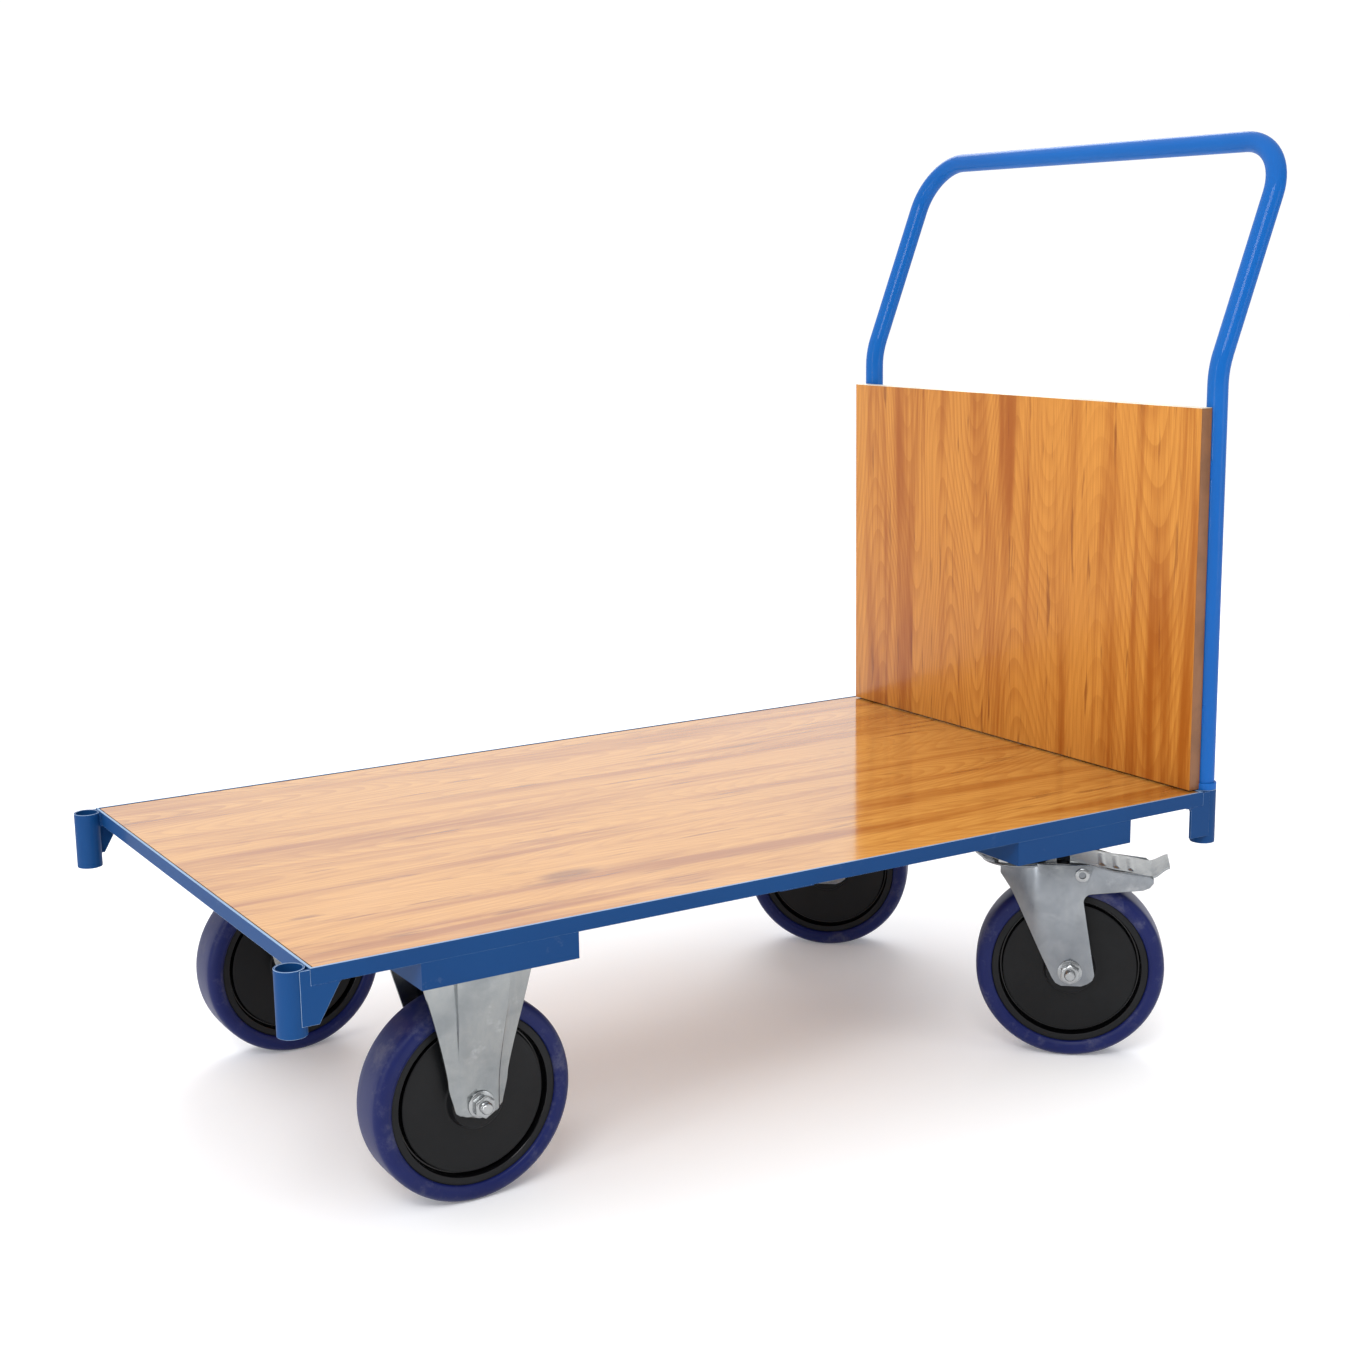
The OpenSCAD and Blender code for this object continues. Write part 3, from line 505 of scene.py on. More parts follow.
def revolve(profile, steps=96, material=None):
    """A closed profile of (radius, along) turned about Y. material picks a slot from a face's radius and place."""
    bm = bmesh.new()
    verts = [bm.verts.new((r, a, 0.0)) for r, a in profile]
    edges = [bm.edges.new(pair) for pair in zip(verts, verts[1:] + verts[:1])]
    bmesh.ops.spin(
        bm, geom=verts + edges, cent=(0, 0, 0), axis=(0, 1, 0), angle=2 * pi, steps=steps, use_merge=True
    )
    bmesh.ops.remove_doubles(bm, verts=bm.verts, dist=MERGE * 2)
    bmesh.ops.recalc_face_normals(bm, faces=bm.faces)
    if material:
        for f in bm.faces:
            c = f.calc_center_median()
            f.material_index = material(sqrt(c.x * c.x + c.z * c.z), c.y)
    return bm


def thicken(bm, along, keep=False):
    """Pulls every face along a vector, so an outline or a sheet becomes a solid."""
    pulled = bmesh.ops.extrude_face_region(bm, geom=bm.faces[:], use_keep_orig=keep)
    moving = [v for v in pulled["geom"] if isinstance(v, bmesh.types.BMVert)]
    bmesh.ops.translate(bm, verts=moving, vec=along)
    bmesh.ops.recalc_face_normals(bm, faces=bm.faces)


def soften(bm, edges, width, segments=3):
    """Rounds some edges."""
    bmesh.ops.bevel(bm, geom=edges, offset=width, segments=segments, profile=0.5, affect="EDGES", material=-1)


def upright_edges(bm):
    return [e for e in bm.edges if abs((e.verts[0].co - e.verts[1].co).normalized().z) > 0.99]


def sharp_edges(bm, least=60):
    """Edges whose faces turn by more than an angle in degrees."""
    return [e for e in bm.edges if e.calc_face_angle(0) > radians(least)]


def level_edges(edges):
    """Those of some edges that keep to one place along Y: a pressed sheet's rims."""
    return [e for e in edges if abs(e.verts[0].co.y - e.verts[1].co.y) < MERGE]


def block(size, at, rounding=0.0, upright=0.0):
    """A box with rounded upright corners and softened edges."""
    bm = bmesh.new()
    bmesh.ops.create_cube(bm, size=1.0, matrix=Matrix.Translation(at) @ Matrix.Diagonal((*size, 1)))
    if upright:
        soften(bm, upright_edges(bm), upright, 6)
    if rounding:
        soften(bm, sharp_edges(bm), rounding)
    return bm


def hexagon(flats, low, high, chamfer):
    """A hexagon head along Y with the corners of its outer face turned off."""
    bm = bmesh.new()
    r, same, outward = flats / sqrt(3), 1e-7, 1 if high > low else -1
    turn = Matrix.Translation((0, low, 0)) @ Matrix.Rotation(radians(-90), 4, "X")
    bmesh.ops.create_circle(bm, cap_ends=True, segments=6, radius=r, matrix=turn)
    thicken(bm, (0, high - low, 0))
    top = [f for f in bm.faces if all(abs(v.co.y - high) < same for v in f.verts)]
    bmesh.ops.inset_region(bm, faces=top, thickness=chamfer)
    for v in bm.verts:
        if abs(v.co.y - high) < same and Vector((v.co.x, v.co.z)).length > r - chamfer * 0.5:
            v.co.y -= chamfer * 0.62 * outward
    bmesh.ops.recalc_face_normals(bm, faces=bm.faces)
    return bm


def threaded(radius, low, high, pitch=1.75 * MM):
    """A bolt end along Y with thread turns and a chamfered tip."""
    step = 1 if high > low else -1
    count = max(2, int(abs(high - low - step * 1.2 * MM) / pitch))
    profile = [(0.0, low)]
    for k in range(count):
        profile += [(radius * 0.87, low + step * pitch * k), (radius, low + step * pitch * (k + 0.5))]
    profile += [(radius * 0.84, high - step * 0.6 * MM), (radius * 0.70, high), (0.0, high)]
    return revolve(profile, 40)


def joined(*parts):
    """Several bmeshes as one."""
    whole = parts[0]
    for part in parts[1:]:
        bits = bpy.data.meshes.new("bits")
        part.to_mesh(bits)
        part.free()
        whole.from_mesh(bits)
        bpy.data.meshes.remove(bits)
    return whole


def moved(bm, matrix):
    bmesh.ops.transform(bm, matrix=matrix, verts=bm.verts)
    return bm


def finish_piece(bm, name, materials, body, slot, nodes=(), edge=0.0, segments=2, sharp=35, edge_slot=-1):
    """Makes a mesh a shown piece: smooth faces, crisp edges, finish, body, slot and the CAD nodes it stands for."""
    name = name.replace(" ", "_") + "_made"
    mesh = bpy.data.meshes.new(name)
    bm.to_mesh(mesh)
    bm.free()
    for m in materials if isinstance(materials, (list, tuple)) else [materials]:
        mesh.materials.append(m)
    for p in mesh.polygons:
        p.use_smooth = True
    mesh.set_sharp_from_angle(angle=radians(sharp))
    piece = bpy.data.objects.new(name, mesh)
    bpy.context.scene.collection.objects.link(piece)
    if edge:
        soft = piece.modifiers.new("soft edges", "BEVEL")
        soft.width, soft.segments, soft.limit_method = edge, segments, "ANGLE"
        soft.angle_limit, soft.harden_normals, soft.use_clamp_overlap = radians(35), True, True
        # edge_slot gives the rounded edges' faces another finish: the frame uses it for a painted highlight, the deck
        # for painted shade.
        soft.material = edge_slot
    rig.ride(piece, body)
    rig.slot(piece, slot)
    if nodes:
        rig.replaces(piece, *nodes)
    return piece


def cad_mesh(node):
    """A merged copy of a CAD node's mesh with its flat faces whole again."""
    bm = bmesh.new()
    bm.from_mesh(frame["nodes"][node].data)
    bmesh.ops.remove_doubles(bm, verts=bm.verts, dist=MERGE)
    bmesh.ops.dissolve_limit(bm, angle_limit=radians(0.5), verts=bm.verts, edges=bm.edges)
    return bm


def dressed(node, material, body, slot, edge=0.5 * MM, segments=2, **more):
    """A CAD node's shape with softened edges and its finish."""
    return finish_piece(cad_mesh(node), node.replace("_", " "), material, body, slot, (node,), edge, segments, **more)


def middle(node):
    low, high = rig.box(node)
    return (Vector(low) + Vector(high)) / 2


def weld_bead(points, radius, name, seed):
    """A row of overlapped ripples along a line of points, with a flatter back."""
    bm = bmesh.new()
    for k, p in enumerate(points):
        wobble = 1 + 0.13 * sin(k * 2.3 + seed) + 0.08 * sin(k * 5.1 + seed * 2)
        shape = Matrix.Translation(p) @ Matrix.Diagonal((radius * wobble, radius * wobble, radius * 0.95 * wobble, 1))
        bmesh.ops.create_uvsphere(bm, u_segments=10, v_segments=6, radius=1.0, matrix=shape)
    return finish_piece(bm, name, WELD, CHASSIS, "frame_paint", sharp=60)


# ---------------------------------------------------------------- frame

# Frame blue, and the pale blue of the painted highlight.
COAT_AND_HIGHLIGHT = [FRAME_BLUE, PAINTED_HIGHLIGHT_BLUE]


def rail(node):
    """A rail, with a pale painted highlight on the top face of the lip that stands round the deck and on its softened
    edges.
    """
    bm = cad_mesh(node)
    top = max(v.co.z for v in bm.verts)
    for f in bm.faces:
        # The lip's top face takes slot 1, the painted highlight.
        f.material_index = 1 if f.normal.z > 0.9 and f.calc_center_median().z > top - 0.2 * MM else 0
    finish_piece(bm, node, COAT_AND_HIGHLIGHT, CHASSIS, "frame_paint", (node,), 0.4 * MM, 3, edge_slot=1)


for node in ("left_side_rail", "right_side_rail", "front_rail", "rear_rail"):
    rail(node)
for node in ("front_cross_channel", "rear_cross_channel"):
    dressed(node, COAT_AND_HIGHLIGHT, CHASSIS, "frame_paint", 1.1 * MM, 3)
dressed("deck_stiffener", FRAME_BLUE, CHASSIS, "frame_paint", 1.0 * MM, 3)
# The softened edges of gussets and sleeves take slot 1, the pale painted highlight.
for node in ("front_gussets", "rear_gussets"):
    dressed(node, COAT_AND_HIGHLIGHT, CHASSIS, "frame_paint", 0.45 * MM, 2, edge_slot=1)
for node in ("front_left_sleeve", "front_right_sleeve", "rear_left_sleeve", "rear_right_sleeve"):
    dressed(node, COAT_AND_HIGHLIGHT, CHASSIS, "frame_paint", 0.35 * MM, 2, edge_slot=1)

# The deck's softened edges take slot 1, the near-black painted shade of the gap to the rails.
dressed("deck_board", [DECK_WOOD, DECK_GAP_SHADE], CHASSIS, "laminate", 1.5 * MM, 2, edge_slot=1)
dressed("deck_screws", ZINC_BRIGHT, CHASSIS, "zinc", 0.3 * MM, 2)
dressed("caster_bolts", ZINC_BRIGHT, CHASSIS, "zinc", 0.4 * MM, 2)
dressed("caster_nuts", ZINC_BRIGHT, CHASSIS, "zinc", 0.4 * MM, 2)


def rail_corner_welds():
    """Beads where each sleeve, gusset and end rail meet, and where the gussets meet the side rails."""
    for end, ends in (("front", -1), ("rear", 1)):
        for side, sign in SIDES.items():
            low, high = (Vector(c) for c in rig.box(f"{end}_{side}_sleeve"))
            mid, radius = (low + high) / 2, (high.x - low.x) / 2
            touch_x = mid.x - ends * (radius - 0.6 * MM)
            inner_y = mid.y - sign * 6.0 * MM
            points = [Vector((touch_x - ends * 0.6 * MM, inner_y, z * MM)) for z in range(266, 279, 1)]
            weld_bead(points, 1.8 * MM, f"{end} {side} sleeve weld", ends + sign * 2)
            rail = f"{side}_side_rail"
            rail_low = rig.box(rail)[0][2]
            g_low, g_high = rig.box(f"{end}_gussets")
            reach = g_high[0] if end == "front" else g_low[0]
            start = mid.x - ends * (radius + 2 * MM)
            count = max(2, int(abs(reach - start) / (1.7 * MM)))
            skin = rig.box(rail)[0 if sign < 0 else 1][1] - sign * 0.9 * MM
            run, seam = reach - start, rail_low - 0.2 * MM
            points = [Vector((start + run * k / count, skin, seam)) for k in range(count + 1)]
            weld_bead(points, 1.25 * MM, f"{end} {side} gusset weld", ends * 3 + sign)


rail_corner_welds()


def channel_welds():
    """Short beads that hold the cross channels up against the side rails' undersides, on their inner sides."""
    for end in ("front", "rear"):
        low, high = (Vector(c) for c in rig.box(f"{end}_cross_channel"))
        for k, x in enumerate((low.x - 0.4 * MM, high.x + 0.4 * MM)):
            for side, sign in SIDES.items():
                y0 = (low.y if sign < 0 else high.y) - sign * 26 * MM
                points = [Vector((x, y0 + sign * q * 1.7 * MM, high.z - 0.8 * MM)) for q in range(12)]
                weld_bead(points, 1.5 * MM, f"{end} {side} channel weld {k + 1}", k * 3 + sign)


channel_welds()

# ---------------------------------------------------------------- push bar and back board

dressed("push_bar_tube", BAR_BLUE, BAR, "bar_paint", 0.25 * MM, 2, sharp=25)
for node in ("stop_collars", "board_tabs"):
    dressed(node, BAR_BLUE, BAR, "bar_paint", 0.6 * MM, 2)
dressed("tab_screws", ZINC_BRIGHT, BAR, "zinc", 0.5 * MM, 2)


def back_board():
    """The board with its grain upright, brown edge bands, a cream band along the top and softened corners."""
    low, high = (Vector(c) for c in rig.box("back_board"))
    bm = block(high - low, (low + high) / 2)
    soften(bm, upright_edges(bm), 1.1 * MM)
    soften(bm, sharp_edges(bm), 0.8 * MM)
    for f in bm.faces:
        n = f.normal
        f.material_index = 2 if n.z > 0.5 else 1 if abs(n.y) > 0.5 or n.z < -0.5 else 0
    finish_piece(bm, "back board", [BOARD_WOOD, BOARD_EDGE, EDGE_BAND], BAR, "laminate", ("back_board",))


back_board()

# ---------------------------------------------------------------- wheels

WHEEL_R, TYRE_HALF, SEAT_R = 100 * MM, 25 * MM, 83 * MM


def tyre_profile():
    """Half the tyre's section, mirrored: a gently crowned tread, round shoulders, and a stepped side wall."""
    half = [(SEAT_R, 0.0), (SEAT_R, TYRE_HALF - 2.2 * MM), (SEAT_R + 1.4 * MM, TYRE_HALF - 1.0 * MM)]
    half += [(SEAT_R + 3.2 * MM, TYRE_HALF - 0.55 * MM), (SEAT_R + 3.9 * MM, TYRE_HALF - 0.1 * MM)]
    half += [(SEAT_R + 4.6 * MM, TYRE_HALF)]
    half += arc(WHEEL_R - 9.3 * MM, TYRE_HALF - 9.0 * MM, 9.0 * MM, 90, 8, 9)
    half += [(WHEEL_R - 0.12 * MM, 11 * MM), (WHEEL_R - 0.02 * MM, 5 * MM), (WHEEL_R, 0.0)]
    return half + [(r, -a) for r, a in reversed(half[1:-1])]


def rim_profile():
    """The rim's section: hub boss, flat disc, deep groove and the flat bead against the tyre."""
    hub, disc, groove, bead = 29.5 * MM, 19.2 * MM, 11.5 * MM, 21.4 * MM
    half = [(16.0 * MM, hub), *arc(24.4 * MM, hub - 1.6 * MM, 1.6 * MM, 90, 0, 3)]
    half += [(27.6 * MM, disc + 0.9 * MM), (28.6 * MM, disc + 0.2 * MM), (30 * MM, disc)]
    half += arc(69.8 * MM, disc - 1.4 * MM, 1.4 * MM, 90, 8, 4)
    half += arc(72.6 * MM, groove + 1.2 * MM, 1.2 * MM, 190, 270, 3)
    half += arc(73.6 * MM, groove + 1.2 * MM, 1.2 * MM, 270, 350, 3)
    half += arc(76.6 * MM, bead - 1.2 * MM, 1.2 * MM, 172, 90, 4)
    half += [*arc(81.8 * MM, bead - 1.1 * MM, 1.1 * MM, 90, 5, 4), (SEAT_R, bead - 1.8 * MM)]
    return half + [(r, -a) for r, a in reversed(half)]


def rim_finish(r, _along):
    """Which of the rim's finishes a face at a radius takes: 0 disc, 1 groove, blacker as painted shade of its depth, 2
    bead.
    """
    return 2 if r > 75.9 * MM else 1 if r > 71.0 * MM else 0


def wheel(prefix, body, place):
    """One wheel about its axle: tyre, rim, roller bearing and spacer."""
    tyre = moved(revolve(tyre_profile(), 128), place)
    finish_piece(tyre, f"{prefix} tyre", TYRE, body, "tyre_blue", (f"{prefix}_tyre",), sharp=50)
    # Slot 1, the groove, is blacker than the disc as painted shade.
    rim, finishes = moved(revolve(rim_profile(), 112, rim_finish), place), [RIM_DISC, GLOSSY_SHADE_BLACK, RIM_BEAD]
    finish_piece(rim, f"{prefix} rim", finishes, body, "rim_black", (f"{prefix}_rim",), sharp=40)
    dressed(f"{prefix}_bearing", DARK_STEEL, body, "steel_dark", 0.4 * MM)


def axle_fasteners(prefix, body, place, near):
    """The axle bolt's washer faced head, shank and threaded end, and the flanged nut on the side that near names."""
    face, flats, shank_r = 35.5, 19 * MM, 5.9
    flip = place @ Matrix.Diagonal((1, -near, 1, 1))
    head = hexagon(flats, (face + 1.6) * MM, (face + 9.0) * MM, 1.3 * MM)
    washer = scaled(
        (0, face), (11.8, face), (12.2, face + 0.4), (12.2, face + 1.2), (11.6, face + 1.7), (0, face + 1.7)
    )
    shank = scaled((0, -face - 1), (shank_r, -face - 1), (shank_r, face + 1), (0, face + 1))
    end = threaded(6 * MM, (-face - 8) * MM, (-face - 15.5) * MM)
    bolt = moved(joined(head, revolve(washer, 48), revolve(shank, 40), end), flip)
    bmesh.ops.recalc_face_normals(bolt, faces=bolt.faces)
    finish_piece(bolt, f"{prefix} axle bolt", ZINC_BRIGHT, body, "zinc", (f"{prefix}_axle_bolt",), 0.25 * MM)
    nut = hexagon(flats, (-face - 1.4) * MM, (-face - 10.2) * MM, 1.4 * MM)
    flange = scaled(
        (0, -face), (12.6, -face), (13, -face - 0.5), (13, -face - 1.2), (10.4, -face - 2.2), (0, -face - 2.2)
    )
    nut = moved(joined(nut, revolve(flange, 48)), flip)
    bmesh.ops.recalc_face_normals(nut, faces=nut.faces)
    finish_piece(nut, f"{prefix} axle nut", ZINC_BRIGHT, body, "zinc", (f"{prefix}_axle_nut",), 0.3 * MM)
    dressed(f"{prefix}_spacer", ZINC_BRIGHT, body, "zinc", 0.3 * MM)


# ---------------------------------------------------------------- caster sheet metal

def smooth_step(x):
    """An even climb from 0 to 1 with level ends."""
    x = min(1.0, max(0.0, x))
    return x * x * (3 - 2 * x)


def pressed_leg(side):
    """A fixed fork's leg in sheet: a proud panel, tight folds, swept back flanges, round toes and a step out."""
    bm = bmesh.new()
    rows, flat, bend, flange = 48, 5, 4, 4
    half_count = flat + bend + flange
    bmesh.ops.create_grid(bm, x_segments=2 * half_count, y_segments=rows, size=0.5)
    foot, top, step, toe, sheet = 90 * MM, 236 * MM, 125 * MM, 7 * MM, 2.6 * MM
    for v in bm.verts:
        column, w = round(v.co.x * 2 * half_count), v.co.y + 0.5
        z = foot + (top - foot) * (w ** 1.35)
        wide = 23.5 * MM + 6.5 * MM * smooth_step((z - foot) / (step - foot))
        wide += 28 * MM * (max(0.0, z - step) / (top - step)) ** 1.15
        panel = (17.5 + 8 * smooth_step((z - foot) / (top - foot))) * MM
        fold = min(2.6 * MM, (wide - panel) * 0.5)
        if z < foot + toe:
            wide -= toe - sqrt(max(0.0, toe * toe - (foot + toe - z) ** 2))
            panel = min(panel, wide - fold * 1.5)
        k, turn = abs(column), 1 if column > 0 else -1
        if k <= flat:
            x = panel * k / flat
        elif k <= flat + bend:
            x = panel + fold * (k - flat) / bend
        else:
            x = panel + fold + (wide - panel - fold) * (k - flat - bend) / flange
        deep = (4.2 + 9.5 * smooth_step((z - step) / (top - step))) * MM
        out = 33.75 * MM + 17 * MM * smooth_step((z - step + 12 * MM) / (top - step + 4 * MM))
        bent = smooth_step((x - panel) / fold)
        swept = max(0.0, x - panel - fold) / max(wide - panel - fold, 0.1 * MM)
        v.co = (turn * x, side * (out + 1.6 * MM - deep * (0.55 * bent + 0.45 * swept)), z)
    thicken(bm, (0, -side * sheet, 0), keep=True)
    return bm


def plate(low_z, high_z, centre):
    """The caster's top plate with round corners."""
    return block((140 * MM, 110 * MM, high_z - low_z), (centre.x, centre.y, (low_z + high_z) / 2), 0.7 * MM, 9 * MM)


def fixed_caster(side):
    """A fixed caster: plate and two pressed legs as one yoke, with its axle fasteners and wheel."""
    prefix, sign = f"front_{side}", SIDES[side]
    centre = middle(f"{prefix}_rim")
    place = Matrix.Translation(centre)
    stand = Matrix.Translation((centre.x, centre.y, 0))
    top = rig.box(f"{prefix}_fork")[1][2]
    legs = moved(joined(pressed_leg(-1), pressed_leg(1)), stand)
    yoke = joined(plate(top - 4 * MM, top, centre), legs)
    finish_piece(yoke, f"{prefix} fork", ZINC_PLATE, CHASSIS, "zinc", (f"{prefix}_fork",), sharp=38)
    axle_fasteners(prefix, CHASSIS, place, sign)
    wheel(prefix, f"{prefix}_wheel", place)


for side in SIDES:
    fixed_caster(side)

# A swivel caster is made with its pivot at the origin and its trail along +X, then turned as it stands.
CROWN_TOP, TRAIL = WHEEL_R + 119 * MM, 56 * MM
PIN_X, PIN_Z = TRAIL + 11 * MM, 208.5 * MM
CHEEK_Y, CHEEK_T = 30.2, 2.6
LIE_DOWN = Matrix.Rotation(radians(90), 4, "X")


def yoke_plate(side):
    """One side of a swivel yoke: an outline cut from plate, with its front part bent softly inwards."""
    bm = bmesh.new()
    knee_x, knee_z, knee_r = 78, 78, 9
    outline = [(-19, 119), (-19, 103), (-7, 86), (37, -7), (41, -13)]
    outline += [(47, -16), (68, -16), (75, -13), (80, -9), (82, -3)]
    for a in range(0, 91, 15):
        outline.append((knee_x - knee_r * cos(radians(a)), knee_z + knee_r * sin(radians(a))))
    outline += [(130, 93), (137, 96), (141, 101), (141, 106), (136, 109.5), (100, 113.5), (79, 119)]
    bm.faces.new([bm.verts.new((x * MM, side * 32 * MM, WHEEL_R + z * MM)) for x, z in outline])
    thicken(bm, (0, side * 3.5 * MM, 0))
    soften(bm, level_edges(sharp_edges(bm, 50)), 0.8 * MM)
    for x in range(16, 41, 3):
        everything = bm.verts[:] + bm.edges[:] + bm.faces[:]
        bmesh.ops.bisect_plane(bm, geom=everything, dist=MERGE, plane_co=(x * MM, 0, 0), plane_no=(1, 0, 0))
    bend_start, bend_end, slope = 31 * MM, 16 * MM, 0.42
    for v in bm.verts:
        into = min(max(bend_start - v.co.x, 0.0), bend_start - bend_end)
        past = max(bend_end - v.co.x, 0.0)
        v.co.y -= side * slope * (into * into / (2 * (bend_start - bend_end)) + past)
    return bm


def crown():
    """The yoke's crown: a pressed round plate with a rolled rim, about the pivot."""
    bore, foot, top = 6.1 * MM, CROWN_TOP - 4 * MM, CROWN_TOP
    profile = [(bore, foot), (38.5 * MM, foot), *arc(38.2 * MM, foot + 1.6 * MM, 1.6 * MM, -90, 20, 4)]
    profile += [*arc(37.6 * MM, foot + 2.6 * MM, 1.4 * MM, 20, 90, 3), (33 * MM, top), (bore, top)]
    return moved(revolve(profile, 72), LIE_DOWN)


def front_tongue():
    """The thin upturned lip at the front of the crown."""
    bm = bmesh.new()
    bmesh.ops.create_grid(bm, x_segments=6, y_segments=28, size=0.5)
    z0 = CROWN_TOP - 3.2 * MM
    for v in bm.verts:
        u, w = v.co.x + 0.5, v.co.y * 2
        angle = pi + w * radians(54)
        r = (34 + 13 * u * (1 - 0.32 * w * w)) * MM
        v.co = (r * cos(angle), r * sin(angle), z0 + (7.0 * u * u * (1 - 0.55 * w * w)) * MM)
    bmesh.ops.solidify(bm, geom=bm.faces[:] + bm.edges[:] + bm.verts[:], thickness=-2.0 * MM)
    bmesh.ops.recalc_face_normals(bm, faces=bm.faces)
    return bm


def pedal_tread():
    """The brake pedal's tread: it slopes down to a raised lip, with three low ribs across."""
    bm = bmesh.new()
    bmesh.ops.create_grid(bm, x_segments=72, y_segments=24, size=0.5)
    start, length, lip, high, low, ribs = 54, 104, 139, 222, 208, (88, 103, 118)
    for v in bm.verts:
        u, w = v.co.x + 0.5, v.co.y * 2
        x = start + u * length
        if x < lip:
            level = high - (x - start) * (high - low) / (lip - start)
        else:
            level = low + 9.5 * smooth_step((x - lip) / 20)
        rib = max(smooth_step((3.6 - abs(x - mid)) / 2.6) for mid in ribs)
        rib *= smooth_step((0.80 - abs(w)) / 0.10)
        narrower = 1 if x < lip + 1 else 1 - 0.20 * smooth_step((x - lip - 1) / 18)
        v.co = (x * MM, w * CHEEK_Y * narrower * MM, (level + rib) * MM)
    bmesh.ops.solidify(bm, geom=bm.faces[:] + bm.edges[:] + bm.verts[:], thickness=CHEEK_T * MM)
    bmesh.ops.recalc_face_normals(bm, faces=bm.faces)
    return bm


def pedal_cheek(side):
    """One side of the pedal, from its eye on the pin to the lip."""
    bm = bmesh.new()
    outline = [(54, 220), (129, 208.1), (125, 203), (76, 202), (72, 200.5), (62, 200.5), (58, 204), (54, 212)]
    bm.faces.new([bm.verts.new((x * MM, side * CHEEK_Y * MM, z * MM)) for x, z in outline])
    thicken(bm, (0, -side * CHEEK_T * MM, 0))
    soften(bm, level_edges(bm.edges), 0.6 * MM, 2)
    return bm


def swivel_top_plate(pivot, top):
    """The top plate with the king pin's riveted head below it."""
    head = revolve(scaled((0, 0), (13, 0), (13.6, 0.6), (11.5, 5), (7, 6.2), (0, 6.2)), 40)
    head = moved(head, LIE_DOWN.inverted())
    head = moved(head, Matrix.Translation((pivot.x, pivot.y, 214.6 * MM)))
    return joined(plate(top - 4 * MM, top, pivot), head)


def ball_race(pivot, high):
    """The two pressed cups of the ball race, with the gap between them."""
    bore, low, waist = 6.4 * MM, 219.4 * MM, 27.2 * MM
    gap = (low + high) / 2
    profile = [(bore, low), (27 * MM, low), *arc(28 * MM, low + 2.0 * MM, 2.0 * MM, -90, 60, 4)]
    profile += [(waist, gap - 1 * MM), (waist, gap + 0.6 * MM)]
    profile += [*arc(29 * MM, high - 3.4 * MM, 3.2 * MM, -70, 60, 5), (30 * MM, high), (bore, high)]
    return moved(moved(revolve(profile, 72), LIE_DOWN), Matrix.Translation((pivot.x, pivot.y, 0)))


def pedal_pin():
    """The hollow pin that the pedal turns on, flared at both ends, with near-black painted shade inside its bore."""
    outer, bore, end = 7.4, 3.9, 38.4
    half = [(0, 20), (bore, 20), (bore, end), (6.6, end), (outer, 37.8), (outer, 36), (6, 35.6)]
    profile = [(r, -a) for r, a in half] + half[::-1]

    # Faces inside the bore take slot 1, the near-black painted shade of the hollow.
    def in_bore(r, along):
        return 1 if r < (bore + 0.1) * MM and abs(along) < (end - 0.1) * MM else 0

    return revolve(scaled(*profile), 48, in_bore)


def swivel_caster(side):
    """A swivel caster: plate, ball race, pressed yoke, brake pedal on its hollow pin, and the wheel."""
    prefix = f"rear_{side}"
    pivot, axle = middle(f"{prefix}_ball_race"), middle(f"{prefix}_rim")
    heading = Vector((axle.x - pivot.x, axle.y - pivot.y)).angle_signed(Vector((1, 0)))
    turn = Matrix.Rotation(heading, 4, "Z")
    stand = Matrix.Translation((pivot.x, pivot.y, 0)) @ turn
    place = Matrix.Translation(axle) @ turn
    swivel, pedal_body = f"{prefix}_swivel", f"{prefix}_brake_pedal"
    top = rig.box(f"{prefix}_top_plate")[1][2]

    top_plate = swivel_top_plate(pivot, top)
    finish_piece(top_plate, f"{prefix} top plate", ZINC_PLATE, CHASSIS, "zinc", (f"{prefix}_top_plate",))
    race = ball_race(pivot, top - 4 * MM)
    finish_piece(race, f"{prefix} ball race", ZINC_BRIGHT, CHASSIS, "zinc", (f"{prefix}_ball_race",), sharp=50)

    web = block((46 * MM, 65 * MM, 4 * MM), (17 * MM, 0, 217 * MM), 0.8 * MM)
    yoke = moved(joined(yoke_plate(-1), yoke_plate(1), crown(), front_tongue(), web), stand)
    finish_piece(yoke, f"{prefix} fork", ZINC_YOKE, swivel, "zinc", (f"{prefix}_fork",), sharp=38)

    pin = moved(pedal_pin(), stand @ Matrix.Translation((PIN_X, 0, PIN_Z)))
    # Slot 1 is the near-black painted shade inside the bore.
    pin_finish = [ZINC_BRIGHT, GLOSSY_SHADE_BLACK]
    finish_piece(pin, f"{prefix} pedal pin", pin_finish, swivel, "zinc", (f"{prefix}_pedal_pin",), sharp=40)
    pedal = moved(joined(pedal_tread(), pedal_cheek(-1), pedal_cheek(1)), stand)
    finish_piece(pedal, f"{prefix} pedal", ZINC_PLATE, pedal_body, "zinc", (f"{prefix}_pedal",), sharp=38)

    axle_fasteners(prefix, swivel, place, -1)
    wheel(prefix, f"{prefix}_wheel", place)


for side in SIDES:
    swivel_caster(side)


# ---------------------------------------------------------------- floor, light and camera

def middle_plane():
    """Where the frame's own middle plane stands, since the turned casters reach further to one side."""
    return middle("front_rail").y


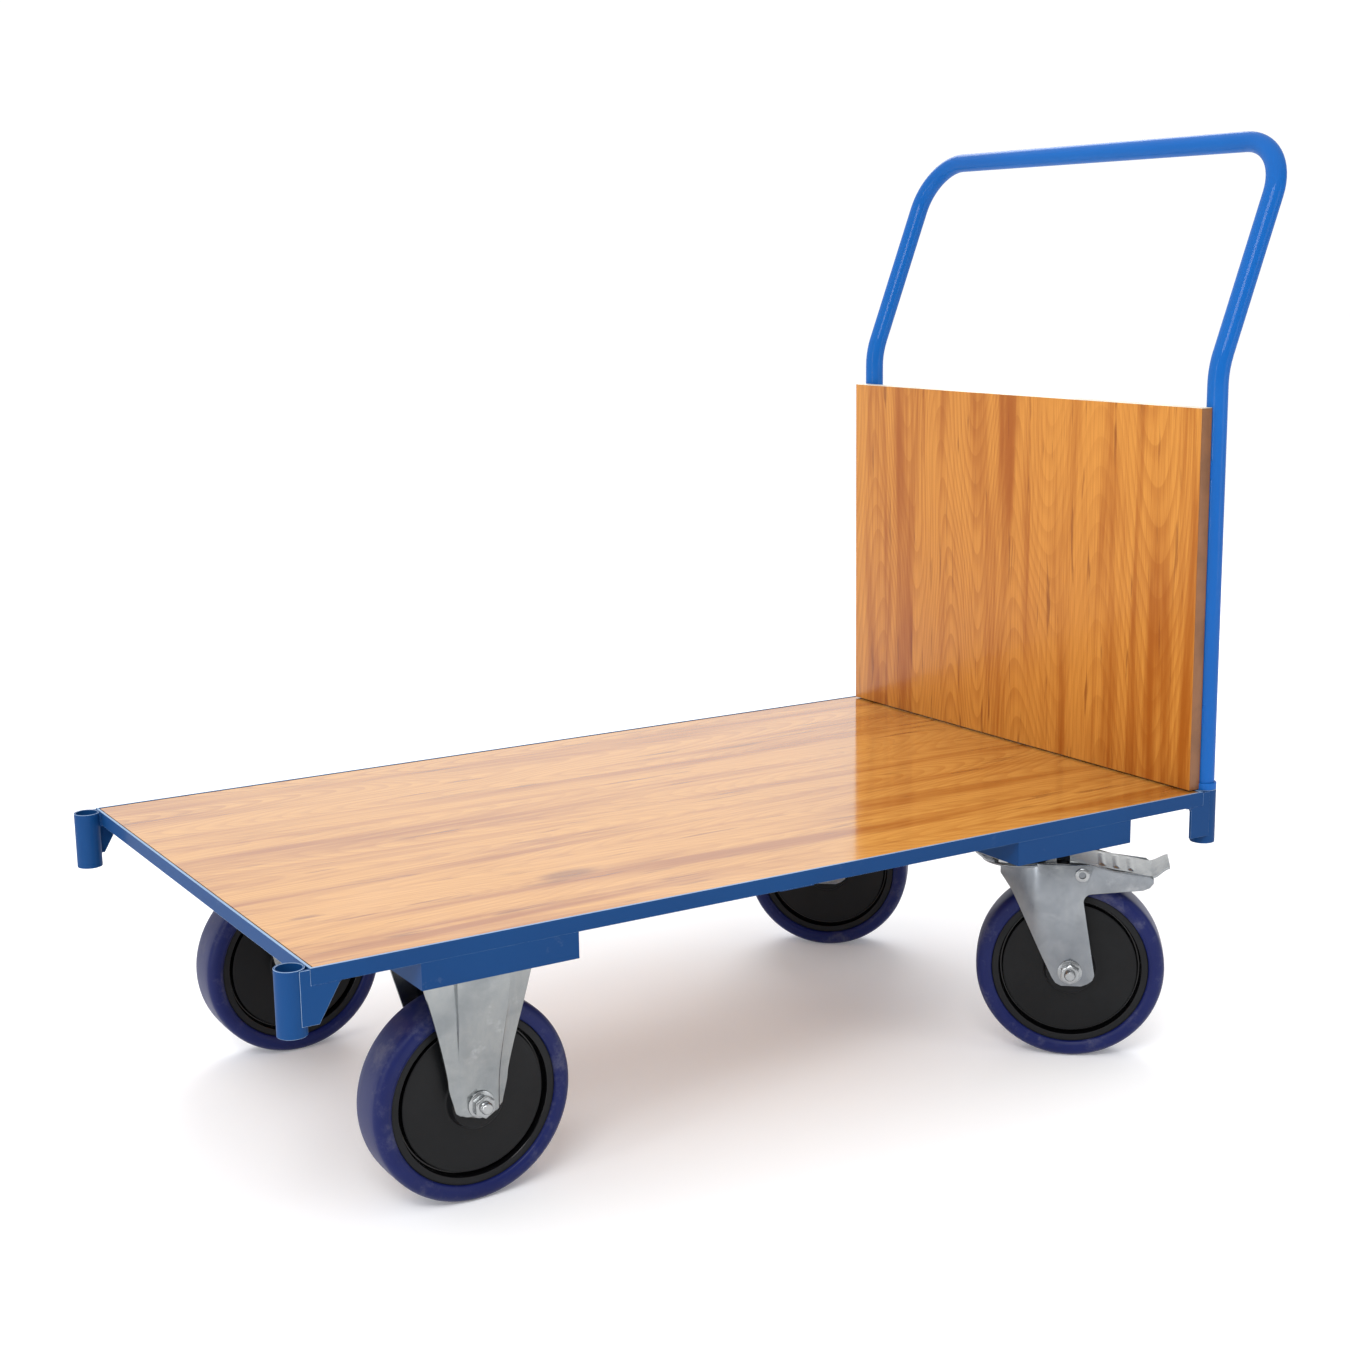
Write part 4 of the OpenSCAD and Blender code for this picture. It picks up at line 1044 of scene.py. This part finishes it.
def pale_floor():
    """A wide round floor that fades into the sky."""
    bm = bmesh.new()
    bmesh.ops.create_circle(bm, cap_ends=True, segments=96, radius=30.0)
    mesh = bpy.data.meshes.new("studio_floor")
    bm.to_mesh(mesh)
    bm.free()
    floor = bpy.data.objects.new("studio_floor", mesh)
    bpy.context.scene.collection.objects.link(floor)
    m = bpy.data.materials.new("pale floor")
    m.use_nodes = True
    white = (1.0, 1.0, 1.0, 1)
    feed(
        m.node_tree, m.node_tree.nodes["Principled BSDF"], Base_Color=(0.90, 0.90, 0.91, 1), Roughness=0.9,
        Specular_IOR_Level=0.0, Emission_Color=white, Emission_Strength=0.15,
    )
    mesh.materials.append(m)
    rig.stage(floor)


def soft_sky():
    """A white room that is brighter above and beyond the truck than on the near side."""
    world = bpy.data.worlds.new("studio sky")
    bpy.context.scene.world = world
    world.use_nodes = True
    t = world.node_tree
    sky = t.nodes["Background"]
    ray = put(t, "ShaderNodeNewGeometry", (-900, 0))
    split = put(t, "ShaderNodeSeparateXYZ", (-700, 0))
    feed(t, split, i0=ray.outputs["Incoming"])
    height = sums(t, (-500, 0), "MULTIPLY", split.outputs["Z"], -1.0)
    behind = sums(t, (-500, -200), "MULTIPLY", split.outputs["Y"], -1.0)
    wall = between(t, (-300, -200), behind, -0.35, 0.45, 0.28, 1.12)
    glow = blend_number(t, (-200, 0), between(t, (-300, 0), height, 0.3, 0.9), wall, 1.15)
    seen = put(t, "ShaderNodeLightPath", (-500, 300))
    level = blend_number(t, (-100, 100), seen.outputs["Is Camera Ray"], glow, 1.05)
    feed(t, sky, Color=(1.0, 1.0, 1.0, 1), Strength=level)


def soft_lamps():
    """Four large lamps, each with its place, its aim, its size in metres and its power."""
    for name, at, aim, size, power in (
        ("key softbox", (-2.2, -2.6, 3.2), (0.0, 0.0, 0.25), (1.8, 1.2), 70.0),
        ("side strip", (-3.0, -0.9, 1.1), (0.0, 0.0, 0.3), (0.35, 2.0), 22.0),
        ("front strip", (1.9, -3.0, 0.9), (0.0, 0.0, 0.2), (1.1, 1.8), 13.0),
        ("back softbox", (1.8, 2.8, 2.6), (0.2, 0.0, 0.4), (2.4, 1.4), 60.0),
    ):
        data = bpy.data.lights.new(name, "AREA")
        data.shape, data.size, data.size_y, data.energy = "RECTANGLE", size[0], size[1], power
        lamp = bpy.data.objects.new(name, data)
        lamp.location = at
        lamp.rotation_euler = (Vector(aim) - Vector(at)).to_track_quat("-Z", "Y").to_euler()
        bpy.context.scene.collection.objects.link(lamp)


def front_left_camera():
    """The main view: from the front left, a little above the deck, and rolled a trace."""
    place, aim, roll = (-1.1428, -1.8782 + middle_plane(), 0.8517), (0.5067, 0.8396, -0.1957), -0.016
    scene = bpy.context.scene
    data = bpy.data.cameras.new("view from the front left")
    data.sensor_width, data.lens = 36.0, 55.25
    camera = bpy.data.objects.new("view from the front left", data)
    camera.location = place
    look = Vector(aim).to_track_quat("-Z", "Y")
    camera.rotation_euler = (look @ Quaternion((0, 0, 1), roll)).to_euler()
    scene.collection.objects.link(camera)
    scene.camera = camera
    scene.view_settings.view_transform = "Standard"


pale_floor()
soft_sky()
soft_lamps()
front_left_camera()
record_box("visual", "a")
